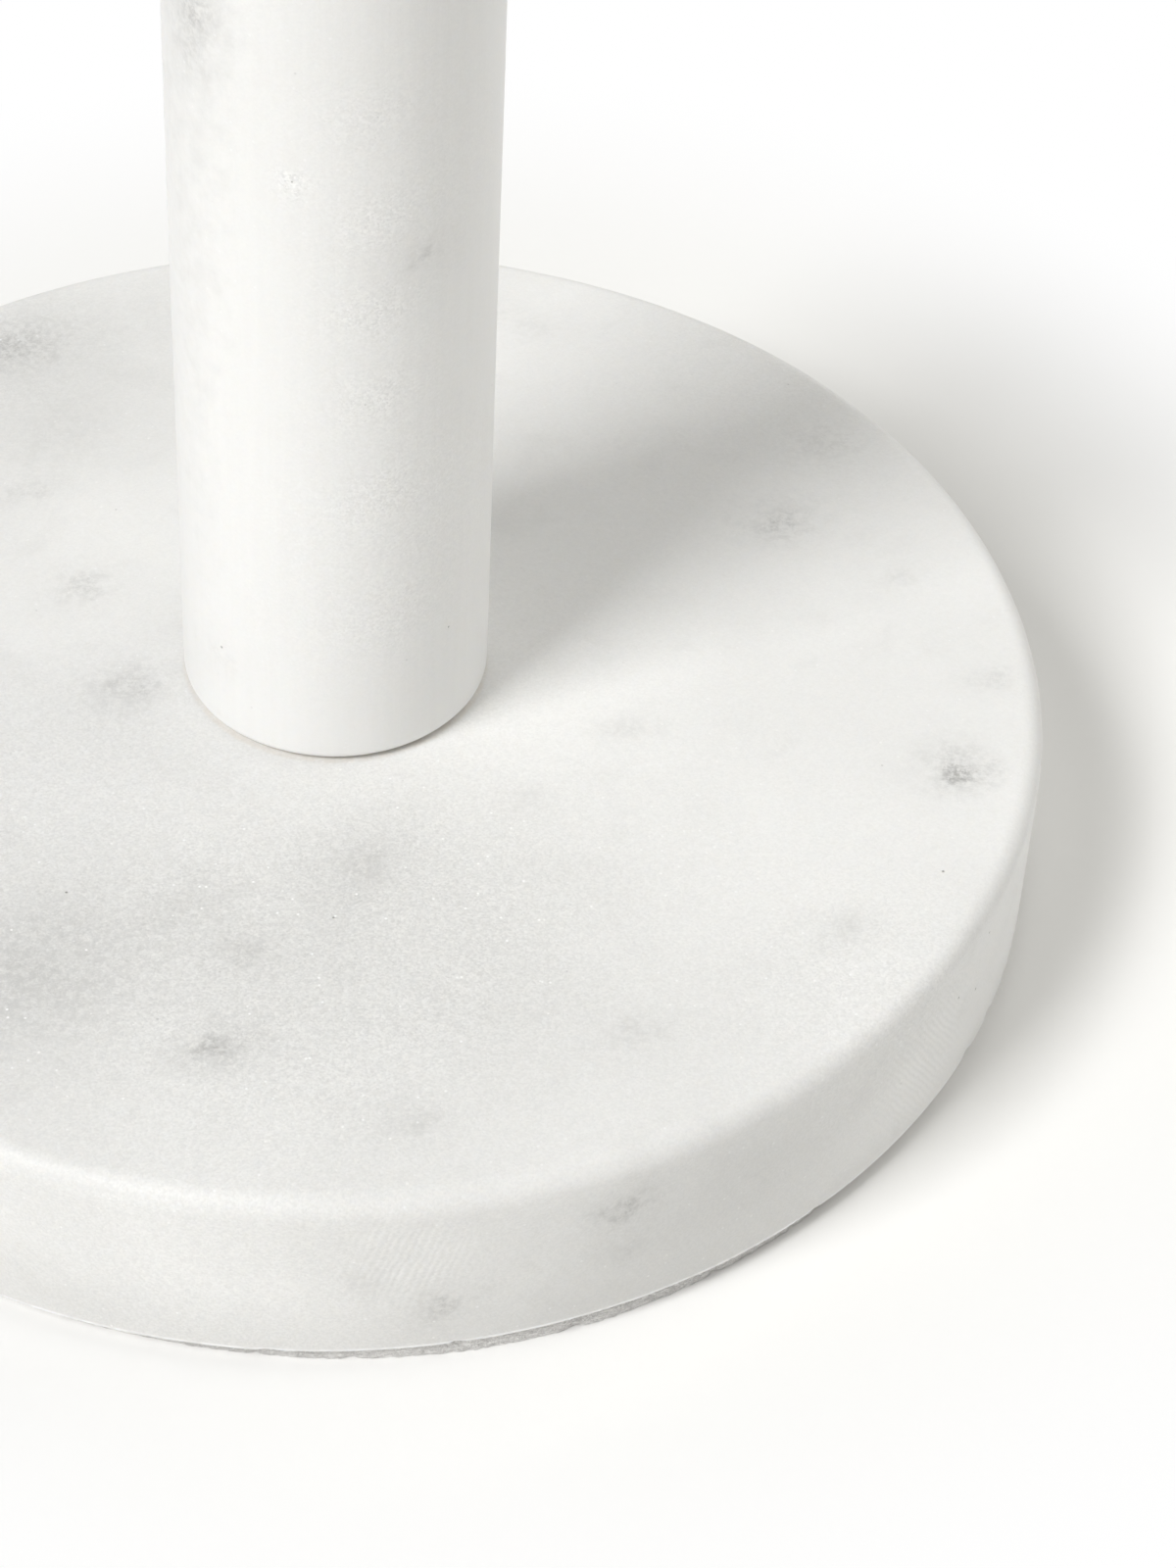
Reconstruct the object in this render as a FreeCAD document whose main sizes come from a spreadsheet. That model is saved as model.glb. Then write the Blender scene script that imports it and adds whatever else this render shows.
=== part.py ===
"""Paper towel holder: a round stone base, and a turned stone column that screws into it.

Millimetres, +Z up. The origin is the centre of the pad's underside, where the holder meets the worktop,
and the column's axis is +Z.
"""

import FreeCAD
import Part

import os

import Sketcher

SUBPART_FOLDER = "parts"
SAME_PLACE = 1e-4  # two lengths closer than this are the same

# Every driving size in millimetres: its alias, its value and what it measures.
SIZES = [
    ("overall_height", 320.0, "worktop to the top of the column"),
    ("pad_thickness", 1.8, "felt pad"),
    ("pad_inset", 1.0, "how far the pad stays inside the base's edge"),
    ("film_thickness", 0.2, "double-sided film that holds the pad"),
    ("film_inset", 1.5, "how far the film stays inside the pad's edge"),
    ("base_diameter", 150.0, "stone disc"),
    ("base_thickness", 21.0, "stone disc"),
    ("base_rounding", 2.0, "radius of the disc's upper edge"),
    ("base_bevel", 0.4, "eased lower edge of the disc"),
    ("column_diameter", 32.0, "stone column, which passes a roll's core"),
    ("column_top_rounding", 3.0, "radius of the column's upper edge"),
    ("column_foot_rounding", 1.5, "radius of the column's lower edge"),
    ("column_foot_land", 2.2, "flat ring of stone between the foot's rounding and its recess"),
    ("foot_gap", 0.2, "shadow line between the column's foot and the base"),
    ("washer_thickness", 1.0, "clear washer under the column's foot"),
    ("washer_clearance", 0.3, "radial, washer to its recess in the column's foot"),
    ("washer_bore_clearance", 0.1, "radial, washer to stud"),
    ("stud_diameter", 8.0, "steel stud, over its thread"),
    ("stud_length", 60.0, "steel stud"),
    ("stud_bevel", 0.9, "chamfer on both ends of the stud"),
    ("thread_engagement", 12.5, "length of the stud that is screwed into the insert"),
    ("thread_clearance", 0.05, "radial, stud to the insert's bore"),
    ("stud_resin_wall", 2.0, "resin round the stud, in the column's socket"),
    ("stud_resin_plug", 3.0, "resin past the end of the stud"),
    ("insert_wall", 2.0, "barrel of the brass insert in the base"),
    ("insert_recess", 1.0, "insert's mouth below the base's upper face"),
    ("insert_mouth_bevel", 0.5, "lead-in of the insert's bore"),
    ("flange_width", 5.0, "flange of the insert, past its barrel"),
    ("flange_thickness", 3.0, "flange of the insert"),
    ("flange_notch_radius", 2.0, "scallops that key the flange into the resin"),
    ("flange_bed", 0.5, "resin between the flange and the shoulder above it"),
    ("barrel_resin_wall", 1.0, "resin round the insert's barrel"),
    ("flange_resin_wall", 1.5, "resin round the insert's flange"),
    ("tip_clearance", 1.0, "radial room round the stud's line, through the resin below the insert"),
    ("counterbore_depth", 7.0, "pocket in the underside of the base, which takes the flange"),
]
FLANGE_NOTCHES = 6
FULL_TURN = 360.0  # degrees

# Radii, heights above the worktop and lengths that follow from the sizes.
BASE_RADIUS = "(Sizes.base_diameter / 2)"
BASE_BOTTOM = "(Sizes.pad_thickness + Sizes.film_thickness)"
BASE_TOP = f"({BASE_BOTTOM} + Sizes.base_thickness)"
PAD_RADIUS = f"({BASE_RADIUS} - Sizes.pad_inset)"
FILM_RADIUS = f"({PAD_RADIUS} - Sizes.film_inset)"

COLUMN_RADIUS = "(Sizes.column_diameter / 2)"
COLUMN_FOOT = f"({BASE_TOP} + Sizes.foot_gap)"
COLUMN_LENGTH = f"(Sizes.overall_height - {COLUMN_FOOT})"
RECESS_RADIUS = f"({COLUMN_RADIUS} - Sizes.column_foot_rounding - Sizes.column_foot_land)"
RECESS_DEPTH = "(Sizes.washer_thickness - Sizes.foot_gap)"
RECESS_TOP = f"({BASE_TOP} + Sizes.washer_thickness)"
WASHER_RADIUS = f"({RECESS_RADIUS} - Sizes.washer_clearance)"

STUD_RADIUS = "(Sizes.stud_diameter / 2)"
WASHER_BORE_RADIUS = f"({STUD_RADIUS} + Sizes.washer_bore_clearance)"
INSERT_MOUTH = f"({BASE_TOP} - Sizes.insert_recess)"
STUD_TIP = f"({INSERT_MOUTH} - Sizes.thread_engagement)"
STUD_GRIP = f"({STUD_TIP} + Sizes.stud_length - {RECESS_TOP})"
SOCKET_RADIUS = f"({STUD_RADIUS} + Sizes.stud_resin_wall)"
STUD_RESIN_LENGTH = f"({STUD_GRIP} + Sizes.stud_resin_plug)"
SOCKET_DEPTH = f"({RECESS_DEPTH} + {STUD_RESIN_LENGTH})"

INSERT_BORE_RADIUS = f"({STUD_RADIUS} + Sizes.thread_clearance)"
BARREL_RADIUS = f"({INSERT_BORE_RADIUS} + Sizes.insert_wall)"
FLANGE_RADIUS = f"({BARREL_RADIUS} + Sizes.flange_width)"
BASE_BORE_RADIUS = f"({BARREL_RADIUS} + Sizes.barrel_resin_wall)"
COUNTERBORE_RADIUS = f"({FLANGE_RADIUS} + Sizes.flange_resin_wall)"
SHOULDER = f"({BASE_BOTTOM} + Sizes.counterbore_depth)"
FLANGE_BOTTOM = f"({SHOULDER} - Sizes.flange_bed - Sizes.flange_thickness)"
INSERT_LENGTH = f"({INSERT_MOUTH} - {FLANGE_BOTTOM})"


def make_sheet(doc):
    """The spreadsheet of driving sizes."""
    sheet = doc.addObject("Spreadsheet::Sheet", "Sizes")
    for row, (alias, value, note) in enumerate(SIZES, start=1):
        sheet.set(f"A{row}", note)
        sheet.set(f"B{row}", str(value))
        sheet.setAlias(f"B{row}", alias)
    doc.recompute()


def new_body(doc, label, floor):
    """An empty body whose own floor, z = 0 in its sketches, stands at the height given."""
    body = doc.addObject("PartDesign::Body", f"{label}_body")
    body.Label = label
    body.setExpression("Placement.Base.z", floor)
    return body


def origin_feature(body, role):
    """One of the planes or axes that every body has."""
    return next(feature for feature in body.Origin.OriginFeatures if feature.Role == role)


def centre_on_origin(circle):
    """Hold a circle's centre (the sketcher's point 3) on the sketch's origin (its element -1, point 1)."""
    return Sketcher.Constraint("Coincident", circle, 3, -1, 1)


def circles(body, name, *radii, offset=None):
    """A sketch of circles on the body's floor. With an offset, their centre lies that far along +X."""
    sketch = body.newObject("Sketcher::SketchObject", name)
    sketch.AttachmentSupport = [(origin_feature(body, "XY_Plane"), "")]
    sketch.MapMode = "FlatFace"
    if offset:
        sketch.setExpression("AttachmentOffset.Base.x", offset)
    for index, radius in enumerate(radii):
        value = body.evalExpression(radius)
        sketch.addGeometry(Part.Circle(FreeCAD.Vector(), FreeCAD.Vector(0, 0, 1), value), False)
        sketch.addConstraint(centre_on_origin(index))
        size = sketch.addConstraint(Sketcher.Constraint("Radius", index, value))
        sketch.setExpression(f"Constraints[{size}]", radius)
    return sketch


def extrude(body, name, sketch, length):
    """Pad a sketch upwards."""
    pad = body.newObject("PartDesign::Pad", name)
    pad.Profile = sketch
    pad.setExpression("Length", length)
    body.Document.recompute()


def drill(body, name, radius, depth=None, wide_radius=None, wide_depth=None):
    """Drill up from the body's floor, right through or to a depth, with a counterbore if one is given."""
    sketch = circles(body, f"{name}_sketch", radius)
    body.Document.recompute()
    hole = body.newObject("PartDesign::Hole", name)
    hole.Profile = sketch
    hole.Reversed = True
    hole.DrillPoint = "Flat"
    hole.setExpression("Diameter", f"2 * {radius}")
    hole.DepthType = "Dimension" if depth else "ThroughAll"
    if depth:
        hole.setExpression("Depth", depth)
    if wide_radius:
        hole.HoleCutType = "Counterbore"
        hole.HoleCutCustomValues = True
        hole.setExpression("HoleCutDiameter", f"2 * {wide_radius}")
        hole.setExpression("HoleCutDepth", wide_depth)
    body.Document.recompute()


def round_edge(body, radius, height):
    """The name of the tip's round edge that has this radius, at this height above the body's floor."""
    wanted_radius = body.evalExpression(radius)
    wanted_height = body.evalExpression(height)
    for number, edge in enumerate(body.Tip.Shape.Edges, start=1):
        if not isinstance(edge.Curve, Part.Circle):
            continue
        same_radius = abs(edge.Curve.Radius - wanted_radius) < SAME_PLACE
        if same_radius and abs(edge.Curve.Center.z - wanted_height) < SAME_PLACE:
            return f"Edge{number}"
    raise RuntimeError(f"{body.Label} has no round edge of radius {radius} at {height}")


def dress(body, kind, name, size, radius, height):
    """Fillet or chamfer the round edge that has this radius and height."""
    dressed = (body.Tip, [round_edge(body, radius, height)])
    feature = body.newObject(f"PartDesign::{kind}", name)
    feature.Base = dressed
    feature.setExpression("Radius" if kind == "Fillet" else "Size", size)
    body.Document.recompute()


def make_pad(doc):
    """Felt disc that the holder stands on."""
    body = new_body(doc, "pad", "0")
    extrude(body, "pad_sheet", circles(body, "pad_outline", PAD_RADIUS), "Sizes.pad_thickness")
    return body


def make_pad_film(doc):
    """Double-sided film between the felt and the stone."""
    body = new_body(doc, "pad_film", "Sizes.pad_thickness")
    extrude(body, "film_sheet", circles(body, "film_outline", FILM_RADIUS), "Sizes.film_thickness")
    return body


def make_base(doc):
    """Stone disc with a stepped hole, drilled from below, that takes the insert and its resin."""
    body = new_body(doc, "base", BASE_BOTTOM)
    extrude(body, "disc", circles(body, "disc_outline", BASE_RADIUS), "Sizes.base_thickness")
    drill(body, "insert_hole", BASE_BORE_RADIUS,
          wide_radius=COUNTERBORE_RADIUS, wide_depth="Sizes.counterbore_depth")
    dress(body, "Fillet", "upper_rounding", "Sizes.base_rounding", BASE_RADIUS, "Sizes.base_thickness")
    dress(body, "Chamfer", "lower_bevel", "Sizes.base_bevel", BASE_RADIUS, "0")
    return body


def make_base_insert(doc):
    """Brass bush with a scalloped flange. Its bore has the thread that takes the stud."""
    body = new_body(doc, "base_insert", FLANGE_BOTTOM)
    extrude(body, "flange", circles(body, "flange_outline", FLANGE_RADIUS), "Sizes.flange_thickness")
    notch = body.newObject("PartDesign::Pocket", "notch")
    notch.Profile = circles(body, "notch_outline", "Sizes.flange_notch_radius", offset=FLANGE_RADIUS)
    notch.Type = "ThroughAll"
    notch.Reversed = True
    doc.recompute()
    notches = body.newObject("PartDesign::PolarPattern", "notches")
    notches.Originals = [notch]
    notches.Axis = (origin_feature(body, "Z_Axis"), [""])
    notches.Angle = FULL_TURN
    notches.Occurrences = FLANGE_NOTCHES
    body.Tip = notches
    doc.recompute()
    extrude(body, "barrel", circles(body, "barrel_outline", BARREL_RADIUS), INSERT_LENGTH)
    drill(body, "bore", INSERT_BORE_RADIUS)
    dress(body, "Chamfer", "mouth_bevel", "Sizes.insert_mouth_bevel", INSERT_BORE_RADIUS, INSERT_LENGTH)
    return body


def make_insert_resin(doc, insert):
    """Resin that fills the base's stepped hole round the insert, up to the insert's mouth."""
    body = new_body(doc, "resin_slug", BASE_BOTTOM)
    extrude(body, "wide", circles(body, "wide_outline", COUNTERBORE_RADIUS), "Sizes.counterbore_depth")
    height = f"{INSERT_MOUTH} - {BASE_BOTTOM}"
    extrude(body, "narrow", circles(body, "narrow_outline", BASE_BORE_RADIUS), height)
    drill(body, "tip_way", f"({STUD_RADIUS} + Sizes.tip_clearance)")
    resin = doc.addObject("Part::Cut", "insert_resin_cut")
    resin.Label = "insert_resin"
    resin.Base = body
    resin.Tool = insert
    return resin


def make_foot_washer(doc):
    """Clear washer that carries the column. Most of it lies in the recess in the column's foot."""
    body = new_body(doc, "foot_washer", BASE_TOP)
    outline = circles(body, "washer_outline", WASHER_RADIUS, WASHER_BORE_RADIUS)
    extrude(body, "washer_sheet", outline, "Sizes.washer_thickness")
    return body


def make_column(doc):
    """Stone rod with a blind socket for the stud, and a shallow recess round it for the washer."""
    body = new_body(doc, "column", COLUMN_FOOT)
    extrude(body, "rod", circles(body, "rod_outline", COLUMN_RADIUS), COLUMN_LENGTH)
    drill(body, "socket", SOCKET_RADIUS, depth=SOCKET_DEPTH,
          wide_radius=RECESS_RADIUS, wide_depth=RECESS_DEPTH)
    dress(body, "Fillet", "top_rounding", "Sizes.column_top_rounding", COLUMN_RADIUS, COLUMN_LENGTH)
    dress(body, "Fillet", "foot_rounding", "Sizes.column_foot_rounding", COLUMN_RADIUS, "0")
    return body


def make_stud(doc):
    """Threaded steel rod, as a plain one over its thread, with a chamfer on each end."""
    body = new_body(doc, "stud", STUD_TIP)
    extrude(body, "shank", circles(body, "shank_outline", STUD_RADIUS), "Sizes.stud_length")
    dress(body, "Chamfer", "upper_bevel", "Sizes.stud_bevel", STUD_RADIUS, "Sizes.stud_length")
    dress(body, "Chamfer", "tip_bevel", "Sizes.stud_bevel", STUD_RADIUS, "0")
    return body


def make_stud_resin(doc):
    """Resin cup that bonds the stud in the column's socket and follows the stud's chamfered end."""
    body = new_body(doc, "stud_resin", RECESS_TOP)
    extrude(body, "cup", circles(body, "cup_outline", SOCKET_RADIUS), STUD_RESIN_LENGTH)
    drill(body, "stud_way", STUD_RADIUS, depth=STUD_GRIP)
    dress(body, "Chamfer", "end_bevel", "Sizes.stud_bevel", STUD_RADIUS, STUD_GRIP)
    return body


def check_document(doc, pieces):
    """Stop if an object failed, a cut took nothing away, or a piece is not one valid solid."""
    for item in doc.Objects:
        if "Invalid" in item.State or "Error" in item.State:
            raise RuntimeError(f"{item.Name} failed: {item.State}")
        cuts = item.TypeId in ("PartDesign::Hole", "PartDesign::Pocket")
        if cuts and item.Shape.Volume >= item.BaseFeature.Shape.Volume:
            raise RuntimeError(f"{item.Name} cut nothing")
    for piece in pieces:
        shape = piece.Shape
        if shape.isNull() or not shape.isValid() or len(shape.Solids) != 1:
            raise RuntimeError(f"{piece.Label} is not one valid solid")


def main():
    """Build the document, check it and write each piece to its own file."""
    doc = FreeCAD.newDocument("paper_towel_holder")
    make_sheet(doc)
    insert = make_base_insert(doc)
    pieces = [
        make_pad(doc),
        make_pad_film(doc),
        make_base(doc),
        insert,
        make_insert_resin(doc, insert),
        make_foot_washer(doc),
        make_column(doc),
        make_stud(doc),
        make_stud_resin(doc),
    ]
    doc.recompute()
    check_document(doc, pieces)
    os.makedirs(SUBPART_FOLDER, exist_ok=True)
    for piece in pieces:
        piece.Shape.exportStep(os.path.join(SUBPART_FOLDER, f"{piece.Label}.step"))
        box = piece.Shape.BoundBox
        print(f"{piece.Label}: {piece.Shape.Volume:.1f} mm3, z {box.ZMin:.2f} to {box.ZMax:.2f}")


main()
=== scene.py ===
"""Marble paper towel holder: the visible shape and finish of its pieces, and a plain studio.

The packed frame gives the sizes, in metres, and the bodies that the pieces ride on. Each
operator makes one piece, or one group of like pieces, and main calls them in order.
"""

import math
import random

import bmesh
import bpy
from bpy.props import FloatProperty, FloatVectorProperty, PointerProperty
from bpy.types import Operator, Panel, PropertyGroup
from mathutils import Matrix, Vector, noise


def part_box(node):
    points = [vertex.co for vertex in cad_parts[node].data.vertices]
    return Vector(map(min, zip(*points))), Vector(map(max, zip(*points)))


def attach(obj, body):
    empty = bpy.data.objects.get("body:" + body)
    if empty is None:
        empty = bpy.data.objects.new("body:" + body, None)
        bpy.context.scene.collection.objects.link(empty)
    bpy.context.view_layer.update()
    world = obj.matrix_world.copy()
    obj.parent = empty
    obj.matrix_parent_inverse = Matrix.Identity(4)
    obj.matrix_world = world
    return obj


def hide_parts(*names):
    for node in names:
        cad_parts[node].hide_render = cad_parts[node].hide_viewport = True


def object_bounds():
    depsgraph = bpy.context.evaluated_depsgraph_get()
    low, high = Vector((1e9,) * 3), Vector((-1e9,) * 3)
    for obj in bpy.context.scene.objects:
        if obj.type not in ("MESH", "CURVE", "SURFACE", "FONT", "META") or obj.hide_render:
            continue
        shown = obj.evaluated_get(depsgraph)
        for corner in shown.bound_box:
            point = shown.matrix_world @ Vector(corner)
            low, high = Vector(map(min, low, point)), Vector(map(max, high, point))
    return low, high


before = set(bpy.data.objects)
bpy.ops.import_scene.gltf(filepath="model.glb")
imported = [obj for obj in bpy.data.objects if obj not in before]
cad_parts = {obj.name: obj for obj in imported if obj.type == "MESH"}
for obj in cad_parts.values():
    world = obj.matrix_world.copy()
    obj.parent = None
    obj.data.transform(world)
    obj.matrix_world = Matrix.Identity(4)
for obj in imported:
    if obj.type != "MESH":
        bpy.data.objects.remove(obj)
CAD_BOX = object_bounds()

bl_info = {
    "name": "Marble Towel Holder",
    "version": (1, 0, 0),
    "blender": (4, 5, 0),
    "location": "3D View > Sidebar > Towel Holder",
    "description": "Makes a marble paper towel holder piece by piece, with its finishes",
    "category": "Mesh",
}

MM = 0.001

# Sizes inside the pieces, which their outer boxes don't give.
HOLE_RADIUS = 7.05 * MM
BARREL_RADIUS = 6.05 * MM
BORE_RADIUS = 4.05 * MM
RESIN_WAY = 5.0 * MM
FLANGE_HEIGHT = 3.0 * MM
COUNTERBORE_DEPTH = 7.0 * MM
FOOT_RECESS_RADIUS = 12.3 * MM
SCALLOPS = 6
SCALLOP_RADIUS = 2.0 * MM
# Bearing at which the hand-cut pad bulges.
PAD_BULGE = math.radians(-67.0)
# Rows of points in one turn of a thread.
ROWS_PER_TURN = 12

ORIGIN = (0.0, 0.0, 0.0)
# What the lights aim at, in metres.
LIGHT_AIM = Vector((0.0, 0.0, 0.06))
# Middle of the holder and its shadow on the floor, and how far from it the floor turns white.
SHADOW_MIDDLE = (0.008, 0.016, 0.0)
FLOOR_FADE_START = 78 * MM
FLOOR_FADE_END = 135 * MM

WHITE = (1.0, 1.0, 1.0, 1.0)
EVEN_LIGHT = (0.996, 0.999, 1.0)
WARM_LIGHT = (1.0, 0.993, 0.958)
# Near-white painted into a few crystals as their glint: a painted highlight.
PAINTED_GLINT_COLOUR = (0.99, 0.99, 0.985, 1.0)
# Dark for the flecks, and for the painted shade inside the pinholes.
FLECK_AND_PIT_SHADE_COLOUR = (0.26, 0.255, 0.245, 1.0)
# Warm brown for the painted shade where the column's foot meets the base.
FOOT_SHADE_COLOUR = (0.72, 0.63, 0.52, 1.0)
# Pale tone of bruised crystals along an edge, which is also a painted highlight on that edge.
EDGE_HIGHLIGHT_AND_BRUISE_COLOUR = (0.97, 0.97, 0.98, 1.0)

# Direction in which the stone was laid down; its grey marks are longer that way.
BEDDING = (0.78, 0.53, 0.33)

# Grey marks in the stone: the middle in millimetres, the reach of the soft edge, the depth of grey.
BASE_MARKS = (
    ((65.8, -12.5, 23.0), 2.4, 0.60),
    ((64.2, -9.5, 23.0), 4.0, 0.12),
    ((-6.5, -56.0, 23.0), 2.7, 0.40),
    ((6.0, -30.0, 23.0), 4.6, 0.25),
    ((-10.5, -38.5, 23.0), 7.0, 0.12),
    ((-5.0, -43.5, 23.0), 2.8, 0.20),
    ((-21.0, -6.0, 23.0), 4.6, 0.28),
    ((-28.0, 9.5, 23.0), 3.2, 0.26),
    ((47.0, 26.5, 23.0), 3.4, 0.28),
    ((54.0, -35.5, 23.0), 2.4, 0.16),
    ((33.0, -51.0, 23.0), 3.6, 0.16),
    ((13.0, -64.0, 23.0), 2.3, 0.18),
    ((12.0, 62.0, 23.0), 2.6, 0.12),
    ((18.0, 60.0, 23.0), 3.2, 0.10),
    ((52.0, 41.0, 23.0), 5.0, 0.14),
    ((31.0, -8.5, 23.0), 2.8, 0.14),
    ((21.0, -19.5, 23.0), 2.4, 0.12),
    ((60.5, 18.5, 23.0), 3.0, 0.10),
    ((69.5, 2.5, 23.0), 2.6, 0.14),
    ((-42.0, 51.0, 23.0), 7.5, 0.36),
    ((-34.5, 36.0, 23.0), 7.0, 0.12),
    ((-36.0, 25.0, 23.0), 3.0, 0.16),
    ((-26.0, -48.0, 22.0), 14.0, 0.26),
    ((33.0, -67.4, 16.5), 2.3, 0.36),
    ((33.4, -67.2, 10.5), 2.8, 0.12),
    ((16.0, -73.3, 8.0), 3.1, 0.32),
    ((9.0, -74.4, 12.5), 3.2, 0.14),
    ((-52.0, 22.0, 23.0), 8.0, 0.14),
    ((-20.0, 64.0, 18.0), 7.0, 0.24),
    ((-66.0, -30.0, 16.0), 5.0, 0.24),
)
COLUMN_MARKS = (
    ((9.2, -13.0, 85.5), 0.9, 0.20),
    ((9.2, -13.0, 85.5), 3.4, 0.07),
    ((-11.8, -10.7, 109.0), 3.3, 0.34),
    ((-12.4, -9.9, 104.5), 3.6, 0.13),
    ((-10.7, -12.0, 33.0), 3.4, 0.06),
    ((6.0, 14.0, 132.0), 6.0, 0.26),
    ((-15.0, 4.0, 176.0), 7.0, 0.22),
    ((11.0, -10.0, 214.0), 6.0, 0.26),
    ((-6.0, -14.0, 262.0), 4.5, 0.30),
    ((12.0, 9.0, 288.0), 7.0, 0.20),
    ((2.0, 3.0, 320.0), 4.0, 0.24),
)
# Soft grey haze: the middle, the reach and the depth.
BASE_HAZE = (
    ((14.0, -36.0, 23.0), 30.0, 0.42),
    ((-30.0, -50.0, 20.0), 24.0, 0.30),
    ((-36.0, 44.0, 23.0), 26.0, 0.30),
    ((40.0, -64.0, 8.0), 22.0, 0.45),
    ((-60.0, 0.0, 14.0), 30.0, 0.25),
    ((20.0, 74.0, 4.0), 16.0, 0.30),
)
COLUMN_HAZE = (
    ((9.0, -13.0, 84.0), 9.0, 0.07),
    ((-8.0, 12.0, 190.0), 26.0, 0.35),
    ((8.0, -12.0, 280.0), 22.0, 0.25),
)
# Patches where the crystals are coarse and show: the middle, the reach and the strength.
BASE_GRAIN = (
    ((4.0, -42.0, 23.0), 30.0, 0.90),
    ((-30.0, -22.0, 23.0), 24.0, 0.38),
    ((-28.0, -46.0, 22.0), 12.0, 0.50),
    ((56.0, -42.0, 23.0), 16.0, 0.40),
    ((-4.0, -75.0, 12.0), 26.0, 0.22),
    ((-60.0, 44.0, 15.0), 26.0, 0.45),
    ((50.0, 60.0, 12.0), 24.0, 0.3),
)
COLUMN_GRAIN = (
    ((-2.6, -15.8, 94.6), 1.5, 0.78),
    ((4.4, -15.4, 102.0), 4.8, 0.30),
    ((4.8, -15.3, 90.0), 4.4, 0.40),
    ((5.0, -15.2, 80.0), 4.4, 0.48),
    ((5.2, -15.1, 70.0), 4.4, 0.48),
    ((5.4, -15.1, 58.0), 5.4, 0.38),
    ((6.0, -14.8, 42.0), 7.5, 0.32),
    ((10.5, -12.0, 92.0), 15.0, 0.13),
    ((10.5, -12.0, 54.0), 15.0, 0.20),
    ((-8.0, 13.0, 150.0), 30.0, 0.6),
    ((10.0, 10.0, 250.0), 34.0, 0.6),
)
# Pinholes, painted dark as the shade inside them: the middle in millimetres and the radius.
BASE_PINHOLES = (
    ((63.4, -27.0, 23.0), 0.14),
    ((3.0, -38.0, 23.0), 0.12),
    ((-23.5, -36.5, 23.0), 0.14),
    ((68.4, -30.8, 18.5), 0.16),
    ((67.6, -32.5, 12.0), 0.18),
    ((65.4, -36.7, 15.0), 0.16),
)
COLUMN_PINHOLES = (
    ((12.4, -10.2, 37.3), 0.16),
    ((-10.6, -12.0, 34.5), 0.16),
    ((-2.5, -15.8, 94.8), 0.12),
    ((-3.1, -15.7, 94.2), 0.09),
    ((-1.9, -15.9, 95.3), 0.09),
)
# Patches of grinding lines: the middle, the reach, and the lines in a metre along each axis.
BASE_GRINDING = (
    ((13.0, -73.9, 15.0), 9.5, (1270.0, 0.0, -430.0)),
    ((62.0, -42.0, 12.0), 12.0, (700.0, 1000.0, 900.0)),
    ((-60.0, -45.0, 13.0), 10.0, (-900.0, 1100.0, 400.0)),
    ((20.0, 72.0, 12.0), 12.0, (1400.0, 200.0, 500.0)),
)
COLUMN_GRINDING = (
    ((14.0, 6.0, 120.0), 12.0, (300.0, 900.0, 1100.0)),
    ((-13.0, -9.0, 230.0), 14.0, (-700.0, 700.0, 1000.0)),
)
# The figure of each stone. The drift is in metres. The edge highlight and bruise, a pale ring
# that is partly bruised crystals and partly a painted highlight, and the foot shade, a warm ring of
# painted shade, are rings round the axis: radius, height and width in millimetres. A tone and shade
# layer has a direction, a start and an end in millimetres along it, and a depth. The whitening for
# bounce light scales the stone colour, painted light.
BASE_FIGURE = {
    "marks": BASE_MARKS,
    "haze": BASE_HAZE,
    "grain": BASE_GRAIN,
    "pinholes": BASE_PINHOLES,
    "grinding": BASE_GRINDING,
    "drift": (0.030, 0.012, 0.004),
    "clouding": (0.30, 0.22),
    "grain_tone": (0.05, 0.32),
    "grain_depth": 0.006,
    # Pale ring along the base's lower edge: bruised crystals and a painted highlight.
    "edge_highlight_and_bruise": (75.0, 2.2, 0.5),
    # Painted shade: a warm ring round the column's foot on the base's top.
    "foot_shade": (15.3, 23.0, 1.0),
    # Darker towards the bottom of the side.
    "tone_and_shade_layers": (((-0.10, 0.0, -1.0), -12.0, -1.0, 0.55),),
    "whitening_for_bounce_light": 1.0,
    "streaks": {"size_round": 0.55 * MM, "size_upright": 5.0 * MM, "slant": 9.0},
    "streak_depth": 0.010,
}
COLUMN_FIGURE = {
    "marks": COLUMN_MARKS,
    "haze": COLUMN_HAZE,
    "grain": COLUMN_GRAIN,
    "pinholes": COLUMN_PINHOLES,
    "grinding": COLUMN_GRINDING,
    "drift": (0.004, 0.060, 0.021),
    "clouding": (0.08, 0.06),
    "grain_tone": (0.02, 0.40),
    "grain_depth": 0.005,
    # Pale ring along the column's lower edge: bruised crystals and a painted highlight.
    "edge_highlight_and_bruise": (14.6, 23.2, 0.4),
    # Painted shade: a warm ring in the gap under the column's foot.
    "foot_shade": (12.3, 23.2, 0.5),
    "tone_and_shade_layers": (
        # Painted shade on the side that faces the key light.
        ((-0.81, -0.59, 0.03), 16.5, 22.5, 0.70),
        # Greyer up the column, so that the foot reads lighter: painted light from the base's
        # bounce.
        ((0.0, 0.0, 1.0), 35.0, 125.0, 0.26),
    ),
    # Whiter than the base: with the layer above, painted light from the base's bounce.
    "whitening_for_bounce_light": 1.045,
    "streaks": {"size_round": 0.8 * MM, "size_upright": 16.0 * MM, "slant": 0.0},
    "streak_depth": 0.007,
}


# ---------------------------------------------------------------------------------------------
# Settings


def length_setting(label, about, low, high, default):
    """A length; its limits and default are in millimetres."""
    return FloatProperty(
        name=label,
        description=about,
        unit="LENGTH",
        subtype="DISTANCE",
        min=low * MM,
        max=high * MM,
        default=default * MM,
    )


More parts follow.
